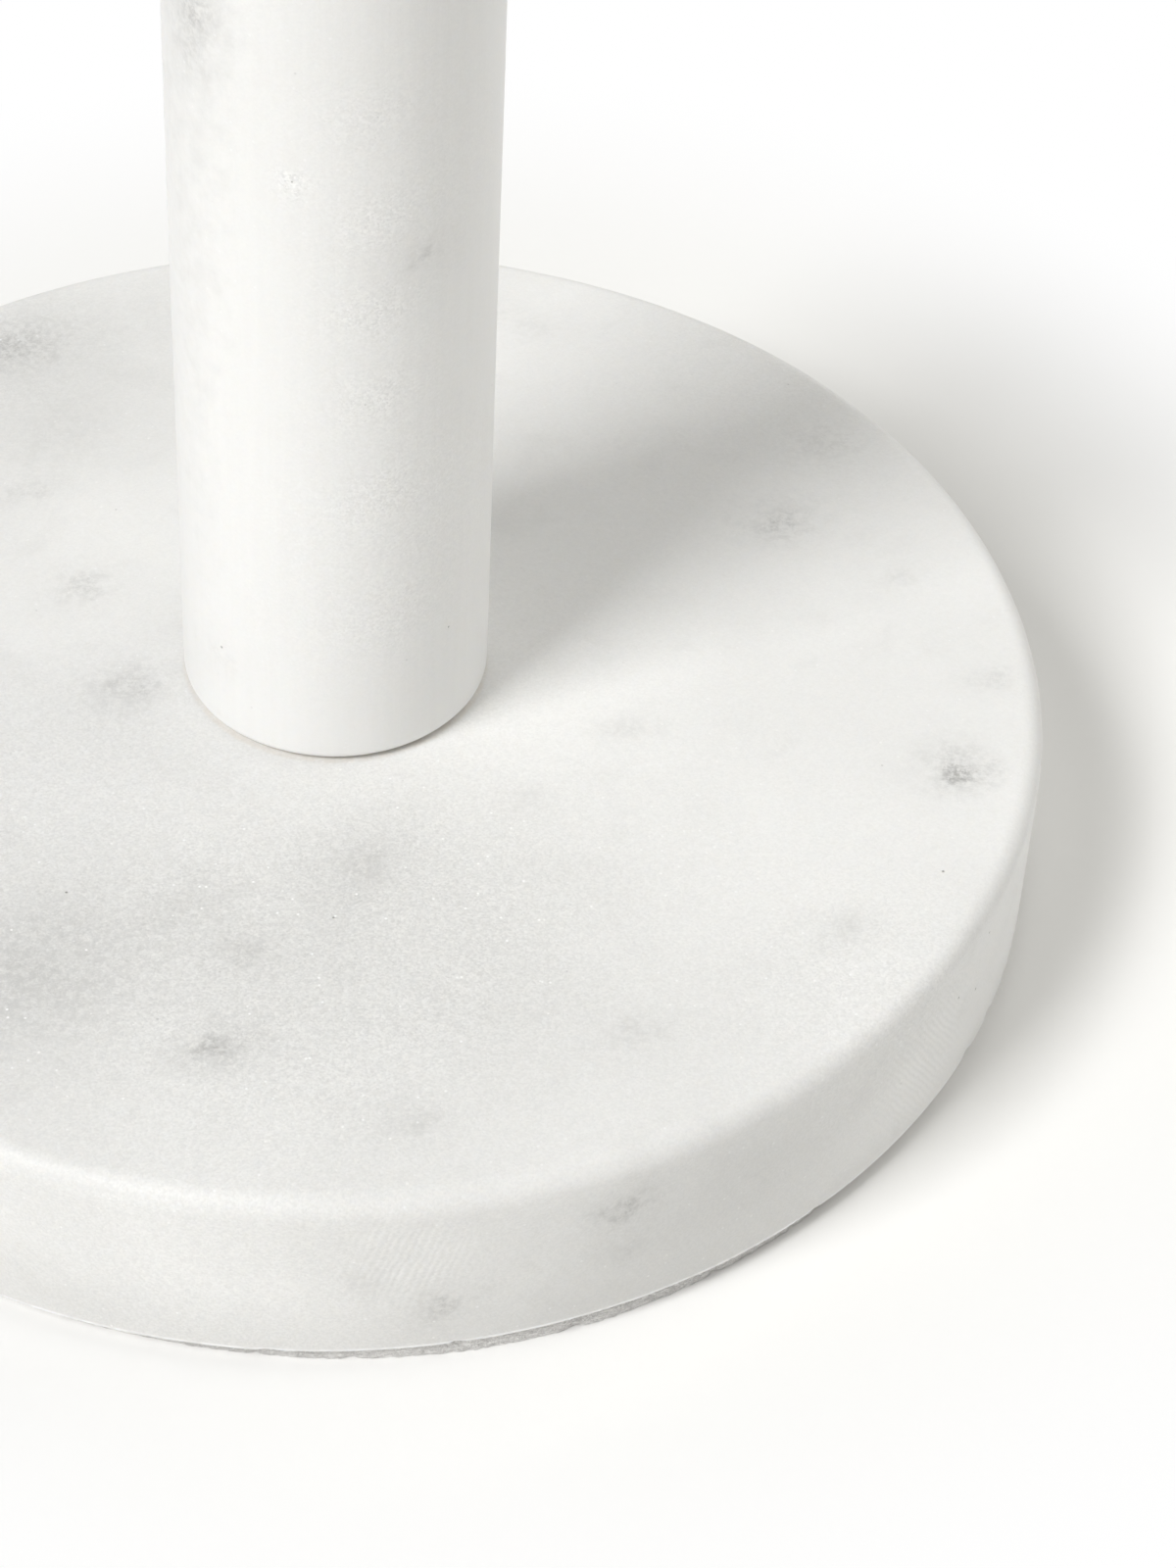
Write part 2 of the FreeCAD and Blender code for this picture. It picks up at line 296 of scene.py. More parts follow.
def share_setting(label, about, default, high=1.0):
    """A share from nothing to high."""
    return FloatProperty(
        name=label, description=about, subtype="FACTOR", min=0.0, max=high, default=default
    )


def colour_setting(label, about, default):
    """A colour."""
    return FloatVectorProperty(
        name=label, description=about, subtype="COLOR", min=0.0, max=1.0, default=default
    )


def power_setting(label, about, default):
    """The power of a light."""
    return FloatProperty(
        name=label, description=about, unit="POWER", min=0.0, max=200.0, default=default
    )


def angle_setting(label, about, degrees):
    """An angle; its default is in degrees."""
    return FloatProperty(
        name=label,
        description=about,
        unit="ROTATION",
        subtype="ANGLE",
        default=math.radians(degrees),
    )


class StoneSettings(PropertyGroup):
    """Colour and figure of the marble."""

    stone_colour: colour_setting(
        "Stone Colour", "Colour of the clean white stone", (0.878, 0.874, 0.860)
    )
    cloud_colour: colour_setting(
        "Cloud Colour", "Colour of the soft clouds in the stone", (0.715, 0.711, 0.697)
    )
    mark_colour: colour_setting(
        "Mark Colour", "Colour of the grey marks at their darkest", (0.42, 0.416, 0.405)
    )
    cloud_size: length_setting(
        "Cloud Size", "Distance over which the clouds change", 5, 200, 42
    )
    crystal_size: length_setting(
        "Crystal Size", "Width of one crystal of the sugary grain", 0.1, 3, 0.22
    )
    polish: share_setting(
        "Polish", "How far the stone has been honed, from rough to bright", 0.50
    )


class EdgeSettings(PropertyGroup):
    """How the marble's edges were worked."""

    rim_rounding: length_setting("Rim Rounding", "Radius of the base's top edge", 0.5, 5, 2.3)
    rim_wander: share_setting(
        "Rim Wander",
        "Share by which the hand-worked rounding grows and shrinks on its way round",
        0.16,
        0.4,
    )
    bottom_bevel: length_setting(
        "Bottom Bevel",
        "Size of the eased edge where the base's side meets its underside",
        0.1,
        1,
        0.4,
    )
    foot_rounding: length_setting(
        "Foot Rounding", "Radius of the column's lower edge", 0.3, 2, 1.2
    )
    top_rounding: length_setting(
        "Top Rounding", "Radius of the column's upper edge", 0.5, 6, 3
    )
    chip_depth: length_setting(
        "Chip Depth", "Depth of the largest chip in the base's lower edge", 0, 1, 0.3
    )


class PadSettings(PropertyGroup):
    """The felt pad and the film that holds it."""

    felt_colour: colour_setting("Felt Colour", "Colour of the wool felt", (0.835, 0.815, 0.80))
    film_colour: colour_setting(
        "Film Colour", "Colour of the adhesive film", (0.70, 0.66, 0.57)
    )
    cut_wander: length_setting(
        "Cut Wander", "How far the hand-cut edge strays from a true circle", 0, 1, 0.25
    )
    cut_inset: length_setting(
        "Cut Inset",
        "How far the pad was cut back, apart from one stretch where it bulges",
        0,
        2,
        1.1,
    )
    shift: FloatVectorProperty(
        name="Shift",
        description="How far the pad was stuck off centre",
        unit="LENGTH",
        subtype="TRANSLATION",
        size=2,
        min=-1 * MM,
        max=1 * MM,
        default=(0.3 * MM, -0.8 * MM),
    )


class HardwareSettings(PropertyGroup):
    """The screw joint: thread sizes and the colours of its pieces."""

    thread_pitch: length_setting(
        "Thread Pitch", "Rise of the screw thread in one turn", 0.5, 2, 1.25
    )
    thread_depth: length_setting(
        "Thread Depth", "Depth of the screw thread from crest to root", 0.3, 1, 0.7
    )
    steel_colour: colour_setting(
        "Steel Colour", "Colour of the zinc-plated steel stud", (0.62, 0.625, 0.61)
    )
    brass_colour: colour_setting(
        "Brass Colour", "Colour of the turned brass insert", (0.79, 0.60, 0.30)
    )
    washer_colour: colour_setting(
        "Washer Colour", "Tint of the clear plastic washer", (0.90, 0.82, 0.70)
    )
    resin_colour: colour_setting(
        "Resin Colour", "Colour of the cured bonding resin", (0.66, 0.62, 0.52)
    )


class StudioSettings(PropertyGroup):
    """Floor, light and camera."""

    floor_colour: colour_setting(
        "Floor Colour", "Colour of the floor near the holder", (0.975, 0.969, 0.953)
    )
    sky_light: FloatProperty(
        name="Sky Light",
        description="Strength of the even light from all round",
        min=0.0,
        max=2.0,
        default=0.15,
    )
    key_power: power_setting(
        "Key Power", "Power of the large soft light at the front left", 30.8
    )
    fill_power: power_setting("Fill Power", "Power of the weak low light at the front", 1.22)
    side_power: power_setting("Side Power", "Power of the weak high light at the right", 1.6)
    back_power: power_setting(
        "Back Power", "Power of the weak light behind the holder, at the right", 1.0
    )
    rear_power: power_setting(
        "Rear Power", "Power of the weak light straight behind the holder", 1.25
    )
    key_direction: angle_setting(
        "Key Direction", "Bearing of the key light, turned from the front towards the right", -47
    )
    key_height: angle_setting("Key Height", "Angle of the key light above the floor", 46)
    lens: FloatProperty(
        name="Lens",
        description="Focal length of the camera in millimetres",
        min=20.0,
        max=200.0,
        default=88.25,
    )
    rise: FloatProperty(
        name="Rise",
        description="Vertical shift of the lens",
        min=-0.5,
        max=0.5,
        default=-0.13,
    )
    eye: FloatVectorProperty(
        name="Eye",
        description="Place of the camera",
        unit="LENGTH",
        subtype="TRANSLATION",
        default=(26.2 * MM, -302.6 * MM, 294.9 * MM),
    )
    tilt: angle_setting(
        "Tilt", "Angle between the camera's sight line and straight down", 49.431
    )
    roll: angle_setting("Roll", "Lean of the camera about its sight line", 3.066)


# ---------------------------------------------------------------------------------------------
# Sizes from the frame


def round_size(node):
    """The outer radius of a CAD node, and the heights of its lowest and highest points."""
    low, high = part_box(node)
    return (high.x - low.x) / 2, low.z, high.z


# ---------------------------------------------------------------------------------------------
# Shaping


def path(*corners):
    """Profile points along straight legs, without the last corner.

    A corner is a radius, a height and, apart from the last, the steps to the next corner.
    """
    points = []
    for corner, (end_radius, end_height, *_) in zip(corners, corners[1:]):
        radius, height, steps = corner
        for step in range(steps):
            share = step / steps
            points.append(
                (radius + (end_radius - radius) * share, height + (end_height - height) * share)
            )
    return points


def closed_path(*corners):
    """Profile points along straight legs, with the last corner."""
    return path(*corners) + [corners[-1]]


def arc(centre_radius, centre_height, radius, first, last, steps):
    """Profile points on an arc between two angles in degrees, both ends with."""
    points = []
    for step in range(steps + 1):
        angle = math.radians(first + (last - first) * step / steps)
        points.append(
            (centre_radius + radius * math.cos(angle), centre_height + radius * math.sin(angle))
        )
    return points


def wander(angle, detail, seed):
    """A smooth chance value from -1 to 1 that closes on itself after a full turn."""
    return noise.noise(Vector((math.cos(angle) * detail, math.sin(angle) * detail, seed)))


def on_circle(radius, angle, height):
    """The point at a radius, an angle and a height."""
    return (radius * math.cos(angle), radius * math.sin(angle), height)


def add_turned(shape, profile, around, closed=False):
    """Turn a profile round the z axis. profile(angle) gives the (radius, height) points."""
    columns = []
    for step in range(around):
        angle = math.tau * step / around
        places = [on_circle(radius, angle, height) for radius, height in profile(angle)]
        columns.append([shape.verts.new(place) for place in places])
    rows = len(columns[0])
    for step, here in enumerate(columns):
        there = columns[(step + 1) % around]
        for row in range(rows if closed else rows - 1):
            above = (row + 1) % rows
            shape.faces.new((here[row], there[row], there[above], here[above]))


def thread_radius(turn_share, crest, root, crest_width, root_width):
    """Radius of a thread at a share of its pitch, with the crest's middle at 0."""
    from_crest = min(turn_share % 1.0, 1.0 - turn_share % 1.0)
    crest_end = crest_width / 2
    root_start = 0.5 - root_width / 2
    if from_crest <= crest_end:
        return crest
    if from_crest >= root_start:
        return root
    down = (from_crest - crest_end) / (root_start - crest_end)
    return crest + (root - crest) * down


def add_thread(shape, low, high, pitch, around, form, limit):
    """Add a right-hand thread as a grid that follows the helix.

    form(share) gives the radius at a share of the pitch, and limit(radius, height) trims it
    at the ends.
    """
    start = low - pitch
    turns = math.ceil((high - start) / pitch) + 2
    rows = ROWS_PER_TURN * turns
    columns = []
    for step in range(around):
        angle = math.tau * step / around
        column = []
        for row in range(rows + 1):
            height = start + pitch * (step / around + row / ROWS_PER_TURN)
            height = min(max(height, low), high)
            share = height / pitch - angle / math.tau
            radius = limit(form(share), height)
            column.append(shape.verts.new(on_circle(radius, angle, height)))
        columns.append(column)
    for step, here in enumerate(columns):
        wraps = step == around - 1
        there = columns[0] if wraps else columns[step + 1]
        shift = ROWS_PER_TURN if wraps else 0
        for row in range(rows - shift):
            corners = (here[row], there[row + shift], there[row + shift + 1], here[row + 1])
            if len({corner.co.to_tuple(9) for corner in corners}) > 2:
                shape.faces.new(corners)


def finish_piece(name, shape, smooth_angle=32.0):
    """Clean a shape up, shade it smooth between its real edges, and make its object."""
    bmesh.ops.remove_doubles(shape, verts=shape.verts[:], dist=1e-7)
    bmesh.ops.dissolve_degenerate(shape, edges=shape.edges[:], dist=1e-8)
    loose = [vertex for vertex in shape.verts if not vertex.link_faces]
    bmesh.ops.delete(shape, geom=loose, context="VERTS")
    rims = [edge for edge in shape.edges if edge.is_boundary]
    bmesh.ops.holes_fill(shape, edges=rims, sides=0)
    bmesh.ops.recalc_face_normals(shape, faces=shape.faces[:])
    mesh = bpy.data.meshes.new(name)
    shape.to_mesh(mesh)
    shape.free()
    for face in mesh.polygons:
        face.use_smooth = True
    mesh.set_sharp_from_angle(angle=math.radians(smooth_angle))
    piece = bpy.data.objects.new(name, mesh)
    bpy.context.scene.collection.objects.link(piece)
    return piece


def turned_piece(name, profile, around, closed=False, smooth_angle=32.0, slide=None):
    """A piece that is only turned and, at times, slid off centre."""
    shape = bmesh.new()
    add_turned(shape, profile, around, closed)
    if slide:
        bmesh.ops.translate(shape, verts=shape.verts[:], vec=slide)
    return finish_piece(name, shape, smooth_angle)


def fit_to_frame(piece, node, body, material):
    """Put a finished piece in its CAD node's place."""
    piece.data.materials.append(material)
    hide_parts(node)
    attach(piece, body)


def knock_chips(shape, edge_height, radius, depth, count, seed):
    """Take small bites out of a lower edge, inwards and upwards."""
    chance = random.Random(seed)
    near_edge = [
        vertex
        for vertex in shape.verts
        if vertex.co.z < edge_height + 3 * MM and vertex.co.xy.length > radius - 3 * MM
    ]
    for _ in range(count):
        angle = chance.uniform(0.0, math.tau)
        width = chance.uniform(0.5, 1.3) * MM
        bite = depth * chance.uniform(0.35, 1.0)
        outwards = Vector((math.cos(angle), math.sin(angle), 0.0))
        centre = outwards * radius + Vector((0.0, 0.0, edge_height))
        push = (Vector((0.0, 0.0, 0.5)) - outwards).normalized()
        for vertex in near_edge:
            distance = (vertex.co - centre).length / width
            if distance < 1.0:
                vertex.co += push * bite * (1.0 - distance * distance)


# ---------------------------------------------------------------------------------------------
# Node tools


def add(tree, kind, inputs=None, **settings):
    """Add a node, set its properties, and fill its inputs with values or links."""
    made = tree.nodes.new(kind)
    for name, value in settings.items():
        setattr(made, name, value)
    for name, value in (inputs or {}).items():
        socket = made.inputs[name]
        if isinstance(value, bpy.types.NodeSocket):
            tree.links.new(value, socket)
        else:
            socket.default_value = value
    return made


def calc(tree, operation, first, second=0.0, clamp=False):
    """One step of arithmetic on values."""
    inputs = {0: first, 1: second}
    made = add(tree, "ShaderNodeMath", inputs, operation=operation, use_clamp=clamp)
    return made.outputs[0]


def weigh(tree, *parts):
    """The sum of values, each times its weight."""
    total = 0.0
    for value, weight in parts:
        inputs = {0: value, 1: weight, 2: total}
        total = add(tree, "ShaderNodeMath", inputs, operation="MULTIPLY_ADD").outputs[0]
    return total


def move(tree, operation, first, second=(0.0, 0.0, 0.0), output="Vector"):
    """One step of arithmetic on vectors."""
    inputs = {0: first, 1: second}
    return add(tree, "ShaderNodeVectorMath", inputs, operation=operation).outputs[output]


def measure(tree, vector):
    """The length of a vector."""
    return move(tree, "LENGTH", vector, output="Value")


def reach_along(tree, vector, direction):
    """How far a vector reaches along a direction."""
    return move(tree, "DOT_PRODUCT", vector, direction, output="Value")


def scale_by(tree, vector, factor):
    """A vector times a number."""
    inputs = {0: vector, "Scale": factor}
    return add(tree, "ShaderNodeVectorMath", inputs, operation="SCALE").outputs["Vector"]


def count_in(tree, vector, size):
    """A position counted in steps of a size."""
    return scale_by(tree, vector, calc(tree, "DIVIDE", 1.0, size))


def height_of(tree, position):
    """The height of a position."""
    return add(tree, "ShaderNodeSeparateXYZ", {0: position}).outputs["Z"]


def span(tree, value, low, high, to_low=0.0, to_high=1.0, shape="SMOOTHSTEP"):
    """Stretch the part of a value between low and high over another range."""
    inputs = {"Value": value, 1: low, 2: high, 3: to_low, 4: to_high}
    return add(tree, "ShaderNodeMapRange", inputs, interpolation_type=shape).outputs["Result"]


def blend(tree, share, at_none, at_full):
    """A value that goes evenly from one to another with a share from 0 to 1."""
    return span(tree, share, 0.0, 1.0, at_none, at_full, "LINEAR")


def cloud(tree, vector, scale=1.0, detail=2.0, roughness=0.5, distortion=0.0, output="Fac"):
    """Noise: a value from 0 to 1, or three of them as a colour."""
    inputs = {
        "Vector": vector,
        "Scale": scale,
        "Detail": detail,
        "Roughness": roughness,
        "Distortion": distortion,
    }
    return add(tree, "ShaderNodeTexNoise", inputs).outputs[output]


def drift(tree, vector, scale, detail=2.0, roughness=0.5):
    """A noise vector around zero."""
    colour = cloud(tree, vector, scale, detail, roughness, output="Color")
    return move(tree, "SUBTRACT", colour, (0.5, 0.5, 0.5))


def cells(tree, vector):
    """Three random shares for each cell, and the distance from the cell's middle."""
    made = add(tree, "ShaderNodeTexVoronoi", {"Vector": vector, "Scale": 1.0})
    shares = add(tree, "ShaderNodeSeparateColor", {"Color": made.outputs["Color"]})
    return shares.outputs, made.outputs["Distance"]


def turned(tree, vector, kind, **inputs):
    """A position turned round an axis or by three angles."""
    inputs = {plain(label): value for label, value in inputs.items()}
    inputs["Vector"] = vector
    return add(tree, "ShaderNodeVectorRotate", inputs, rotation_type=kind).outputs["Vector"]


def tint(tree, share, first, second, mode="MIX"):
    """Mix two colours."""
    inputs = {0: share, 6: first, 7: second}
    return add(tree, "ShaderNodeMix", inputs, data_type="RGBA", blend_type=mode).outputs[2]


def opaque(colour, share=1.0, limit=1.0):
    """A colour, made paler up to a limit or darker by a share, with its alpha."""
    return (*(min(limit, part * share) for part in colour), 1.0)


def lay_out(tree):
    """Set the nodes out in columns, from the output back to the sources."""
    depth = {made: 0 for made in tree.nodes}
    changed = True
    while changed:
        changed = False
        for link in tree.links:
            if depth[link.from_node] < depth[link.to_node] + 1:
                depth[link.from_node] = depth[link.to_node] + 1
                changed = True
    filled = {}
    for made in tree.nodes:
        column = depth[made]
        row = filled.get(column, 0)
        filled[column] = row + 1
        made.location = (-240 * column, -260 * row)


def plain(label):
    """The name of a socket, made from an argument's name: cloud_size gives Cloud Size."""
    return label.replace("_", " ").title()


def start_group(name, **inputs):
    """Start a shared effect, a shader node group whose inputs are named by the arguments."""
    tree = bpy.data.node_groups.new(name, "ShaderNodeTree")
    for label, value in inputs.items():
        kind = "NodeSocketVector" if isinstance(value, tuple) else "NodeSocketFloat"
        socket = tree.interface.new_socket(name=plain(label), in_out="INPUT", socket_type=kind)
        socket.default_value = value
    return tree, tree.nodes.new("NodeGroupInput").outputs


def end_group(tree, **outputs):
    """Finish a shared effect, with the outputs that the arguments name."""
    for label in outputs:
        tree.interface.new_socket(
            name=plain(label), in_out="OUTPUT", socket_type="NodeSocketFloat"
        )
    way_out = tree.nodes.new("NodeGroupOutput").inputs
    for label, value in outputs.items():
        tree.links.new(value, way_out[plain(label)])
    lay_out(tree)
    return tree


def use(tree, effect, **inputs):
    """Place a copy of a shared effect, which is built the first time that it is asked for."""
    group = bpy.data.node_groups.get(effect) or EFFECTS[effect](effect)
    inputs = {plain(label): value for label, value in inputs.items()}
    return add(tree, "ShaderNodeGroup", inputs, node_tree=group).outputs


# ---------------------------------------------------------------------------------------------
# Shared effects


def stone_clouds(name):
    """Soft clouds and finer wisps through the stone."""
    tree, entry = start_group(name, position=ORIGIN, cloud_size=0.04, wisp_size=0.01)
    large = count_in(tree, entry["Position"], entry["Cloud Size"])
    bent = drift(tree, large, 0.8)
    large = move(tree, "ADD", large, bent)
    clouds = cloud(tree, large, 1.0, 3.0, 0.55)
    small = count_in(tree, entry["Position"], entry["Wisp Size"])
    small = move(tree, "ADD", small, bent)
    wisps = cloud(tree, small, 1.0, 5.0, 0.62, 0.6)
    return end_group(
        tree, clouds=span(tree, clouds, 0.40, 0.72), wisps=span(tree, wisps, 0.50, 0.80)
    )


def stone_crystals(name):
    """Sugary crystals: a random tone each, spots where a few crystals glint, and a few dark flecks.
    """
    tree, entry = start_group(
        name, position=ORIGIN, crystal_size=0.0004, sparkle_share=0.02, fleck_share=0.01
    )
    near = count_in(tree, entry["Position"], entry["Crystal Size"])
    tones, _ = cells(tree, near)
    fine = span(tree, cloud(tree, near, 0.75, 3.0, 0.6), 0.25, 0.75, shape="LINEAR")
    chances, distance = cells(tree, scale_by(tree, near, 0.21))

    def spots(chance, share, heart, edge):
        chosen = calc(tree, "GREATER_THAN", chance, calc(tree, "SUBTRACT", 1.0, share))
        return calc(tree, "MULTIPLY", chosen, span(tree, distance, heart, edge, 1.0, 0.0))

    return end_group(
        tree,
        grain=weigh(tree, (tones[0], 0.45), (fine, 0.55)),
        sparkle=spots(chances[1], entry["Sparkle Share"], 0.06, 0.19),
        fleck=spots(chances[0], entry["Fleck Share"], 0.05, 0.18),
        height=fine,
    )


def grey_mark(name):
    """One grey mark, longer along the bedding and darker in its heart."""
    tree, entry = start_group(
        name, below=0.0, position=ORIGIN, grain=0.5, centre=ORIGIN, reach=0.005, depth=0.5
    )
    away = move(tree, "SUBTRACT", entry["Position"], entry["Centre"])
    pull = calc(tree, "MULTIPLY", reach_along(tree, away, BEDDING), -0.26)
    away = move(tree, "ADD", away, scale_by(tree, BEDDING, pull))
    length = measure(tree, count_in(tree, away, entry["Reach"]))
    heart = span(tree, length, 0.0, 1.0, 1.0, 0.0)
    halo = span(tree, length, 0.0, 2.2, 0.45, 0.0)
    rough = span(tree, entry["Grain"], 0.2, 0.75, 0.45, 1.05)
    mark = weigh(tree, (heart, rough), (halo, 1.0))
    return end_group(tree, marks=weigh(tree, (mark, entry["Depth"]), (entry["Below"], 1.0)))


def pinhole(name):
    """One small hole, added to the holes below it."""
    tree, entry = start_group(name, below=0.0, position=ORIGIN, centre=ORIGIN, radius=0.0003)
    away = move(tree, "SUBTRACT", entry["Position"], entry["Centre"])
    length = measure(tree, count_in(tree, away, entry["Radius"]))
    hole = span(tree, length, 0.45, 1.2, 1.0, 0.0)
    return end_group(tree, holes=calc(tree, "MAXIMUM", entry["Below"], hole))


def drawn_lines(name):
    """Fine lines left by a tool or a wheel on a round piece."""
    tree, entry = start_group(
        name, position=ORIGIN, size_round=0.001, size_upright=0.01, slant=0.0
    )
    turn = calc(tree, "MULTIPLY", height_of(tree, entry["Position"]), entry["Slant"])
    laid = turned(tree, entry["Position"], "Z_AXIS", angle=turn)
    level = calc(tree, "DIVIDE", 1.0, entry["Size Round"])
    upright = calc(tree, "DIVIDE", 1.0, entry["Size Upright"])
    steps = add(tree, "ShaderNodeCombineXYZ", {0: level, 1: level, 2: upright}).outputs[0]
    lines = cloud(tree, move(tree, "MULTIPLY", laid, steps))
    return end_group(tree, lines=span(tree, lines, 0.3, 0.7))


def grinding_lines(name):
    """One patch of fine parallel lines from the wheel, added to the patches below it."""
    tree, entry = start_group(
        name,
        below=0.0,
        position=ORIGIN,
        centre=ORIGIN,
        reach=0.01,
        lines_across=(1000.0, 0.0, 0.0),
    )
    away = move(tree, "SUBTRACT", entry["Position"], entry["Centre"])
    near = count_in(tree, away, entry["Reach"])
    patchy = cloud(tree, near, 3.0, 3.0, 0.6)
    fade = span(tree, measure(tree, near), 0.2, 1.0, 1.0, 0.0)
    fade = calc(tree, "MULTIPLY", fade, patchy)
    across = reach_along(tree, away, entry["Lines Across"])
    turns = weigh(tree, (across, math.tau), (patchy, 2 * math.tau))
    wave = calc(tree, "ADD", calc(tree, "SINE", turns), 1.0)
    return end_group(tree, lines=weigh(tree, (wave, fade), (entry["Below"], 1.0)))


def handling_wear(name):
    """Handling wear in loose patches."""
    tree, entry = start_group(name, position=ORIGIN, patch_size=0.004, cover=0.5)
    counted = count_in(tree, entry["Position"], entry["Patch Size"])
    patches = cloud(tree, counted, 1.0, 4.0, 0.6)
    edge = weigh(tree, (entry["Cover"], -0.6), (1.0, 0.85))
    wear = calc(tree, "MULTIPLY", calc(tree, "SUBTRACT", patches, edge), 6.0, clamp=True)
    stretched = move(tree, "MULTIPLY", counted, (14.0, 1.2, 2.5))
    scratches = cloud(tree, stretched, 1.0, 1.0, 0.5, 0.4)
    return end_group(tree, wear=wear, scratches=span(tree, scratches, 0.60, 0.72))


def felt_fibres(name):
    """Crossed wool fibres pressed into felt."""
    tree, entry = start_group(name, position=ORIGIN, fibre_width=0.0002, fibre_length=0.002)
    width = calc(tree, "DIVIDE", 1.0, entry["Fibre Width"])
    length = calc(tree, "DIVIDE", 1.0, entry["Fibre Length"])
    steps = add(tree, "ShaderNodeCombineXYZ", {0: length, 1: width, 2: width}).outputs[0]
    fibres = 0.0
    for turn, lean in ((0.2, 0.1), (1.1, -0.3), (2.0, 0.25), (2.8, -0.15)):
        angles = (lean, lean * 0.7, turn)
        laid = turned(tree, entry["Position"], "EULER_XYZ", rotation=angles)
        strand = cloud(tree, move(tree, "MULTIPLY", laid, steps), 1.0, 2.0, 0.5, 0.8)
        fibres = calc(tree, "MAXIMUM", fibres, span(tree, strand, 0.45, 0.70))
    wide = count_in(tree, entry["Position"], entry["Fibre Length"])
    tufts = cloud(tree, wide, 0.8, 4.0, 0.6)
    return end_group(tree, fibres=fibres, tufts=span(tree, tufts, 0.35, 0.70))


EFFECTS = {
    "stone clouds": stone_clouds,
    "stone crystals": stone_crystals,
    "grey mark": grey_mark,
    "pinhole": pinhole,
    "drawn lines": drawn_lines,
    "grinding lines": grinding_lines,
    "handling wear": handling_wear,
    "felt fibres": felt_fibres,
}


# ---------------------------------------------------------------------------------------------
# Finishes


def start_material(name):
    """A new material: its tree, its shader and the position on the piece."""
    material = bpy.data.materials.new(name)
    material.use_nodes = True
    tree = material.node_tree
    tree.nodes.clear()
    output = tree.nodes.new("ShaderNodeOutputMaterial")
    shader = tree.nodes.new("ShaderNodeBsdfPrincipled")
    tree.links.new(shader.outputs["BSDF"], output.inputs["Surface"])
    position = tree.nodes.new("ShaderNodeTexCoord").outputs["Object"]
    return material, tree, shader, position


def dress(tree, shader, colour, rough, height, constants=None):
    """Give a shader its colour, its roughness, its relief in millimetres and its constants."""
    tree.links.new(colour, shader.inputs["Base Color"])
    tree.links.new(rough, shader.inputs["Roughness"])
    bump = add(tree, "ShaderNodeBump", {"Height": height, "Strength": 1.0, "Distance": MM})
    tree.links.new(bump.outputs["Normal"], shader.inputs["Normal"])
    for name, value in (constants or {}).items():
        shader.inputs[name].default_value = value
    lay_out(tree)


def chain_up(tree, effect, position, rows, labels, **extra):
    """Place one copy of an effect for each row, each added to the one before.

    A row is a middle and a size, both in millimetres, and at times one value more. The
    labels name the size and that value.
    """
    total = 0.0
    for centre, size, *value in rows:
        inputs = dict(zip(labels, (size * MM, *value)))
        inputs["centre"] = [part * MM for part in centre]
        total = use(tree, effect, below=total, position=position, **inputs, **extra)[0]
    return total


def ring_near(tree, position, ring):
    """A broken line round the axis. The ring is a radius, a height and a width."""
    radius, height, width = [value * MM for value in ring]
    reach = measure(tree, move(tree, "MULTIPLY", position, (1.0, 1.0, 0.0)))
    out = calc(tree, "ABSOLUTE", calc(tree, "SUBTRACT", reach, radius))
    up = calc(tree, "ABSOLUTE", calc(tree, "SUBTRACT", height_of(tree, position), height))
    near = span(tree, calc(tree, "MAXIMUM", out, up), width * 0.4, width, 1.0, 0.0)
    broken = span(tree, cloud(tree, position, 700.0), 0.35, 0.6, 0.45, 1.0)
    return calc(tree, "MULTIPLY", near, broken)


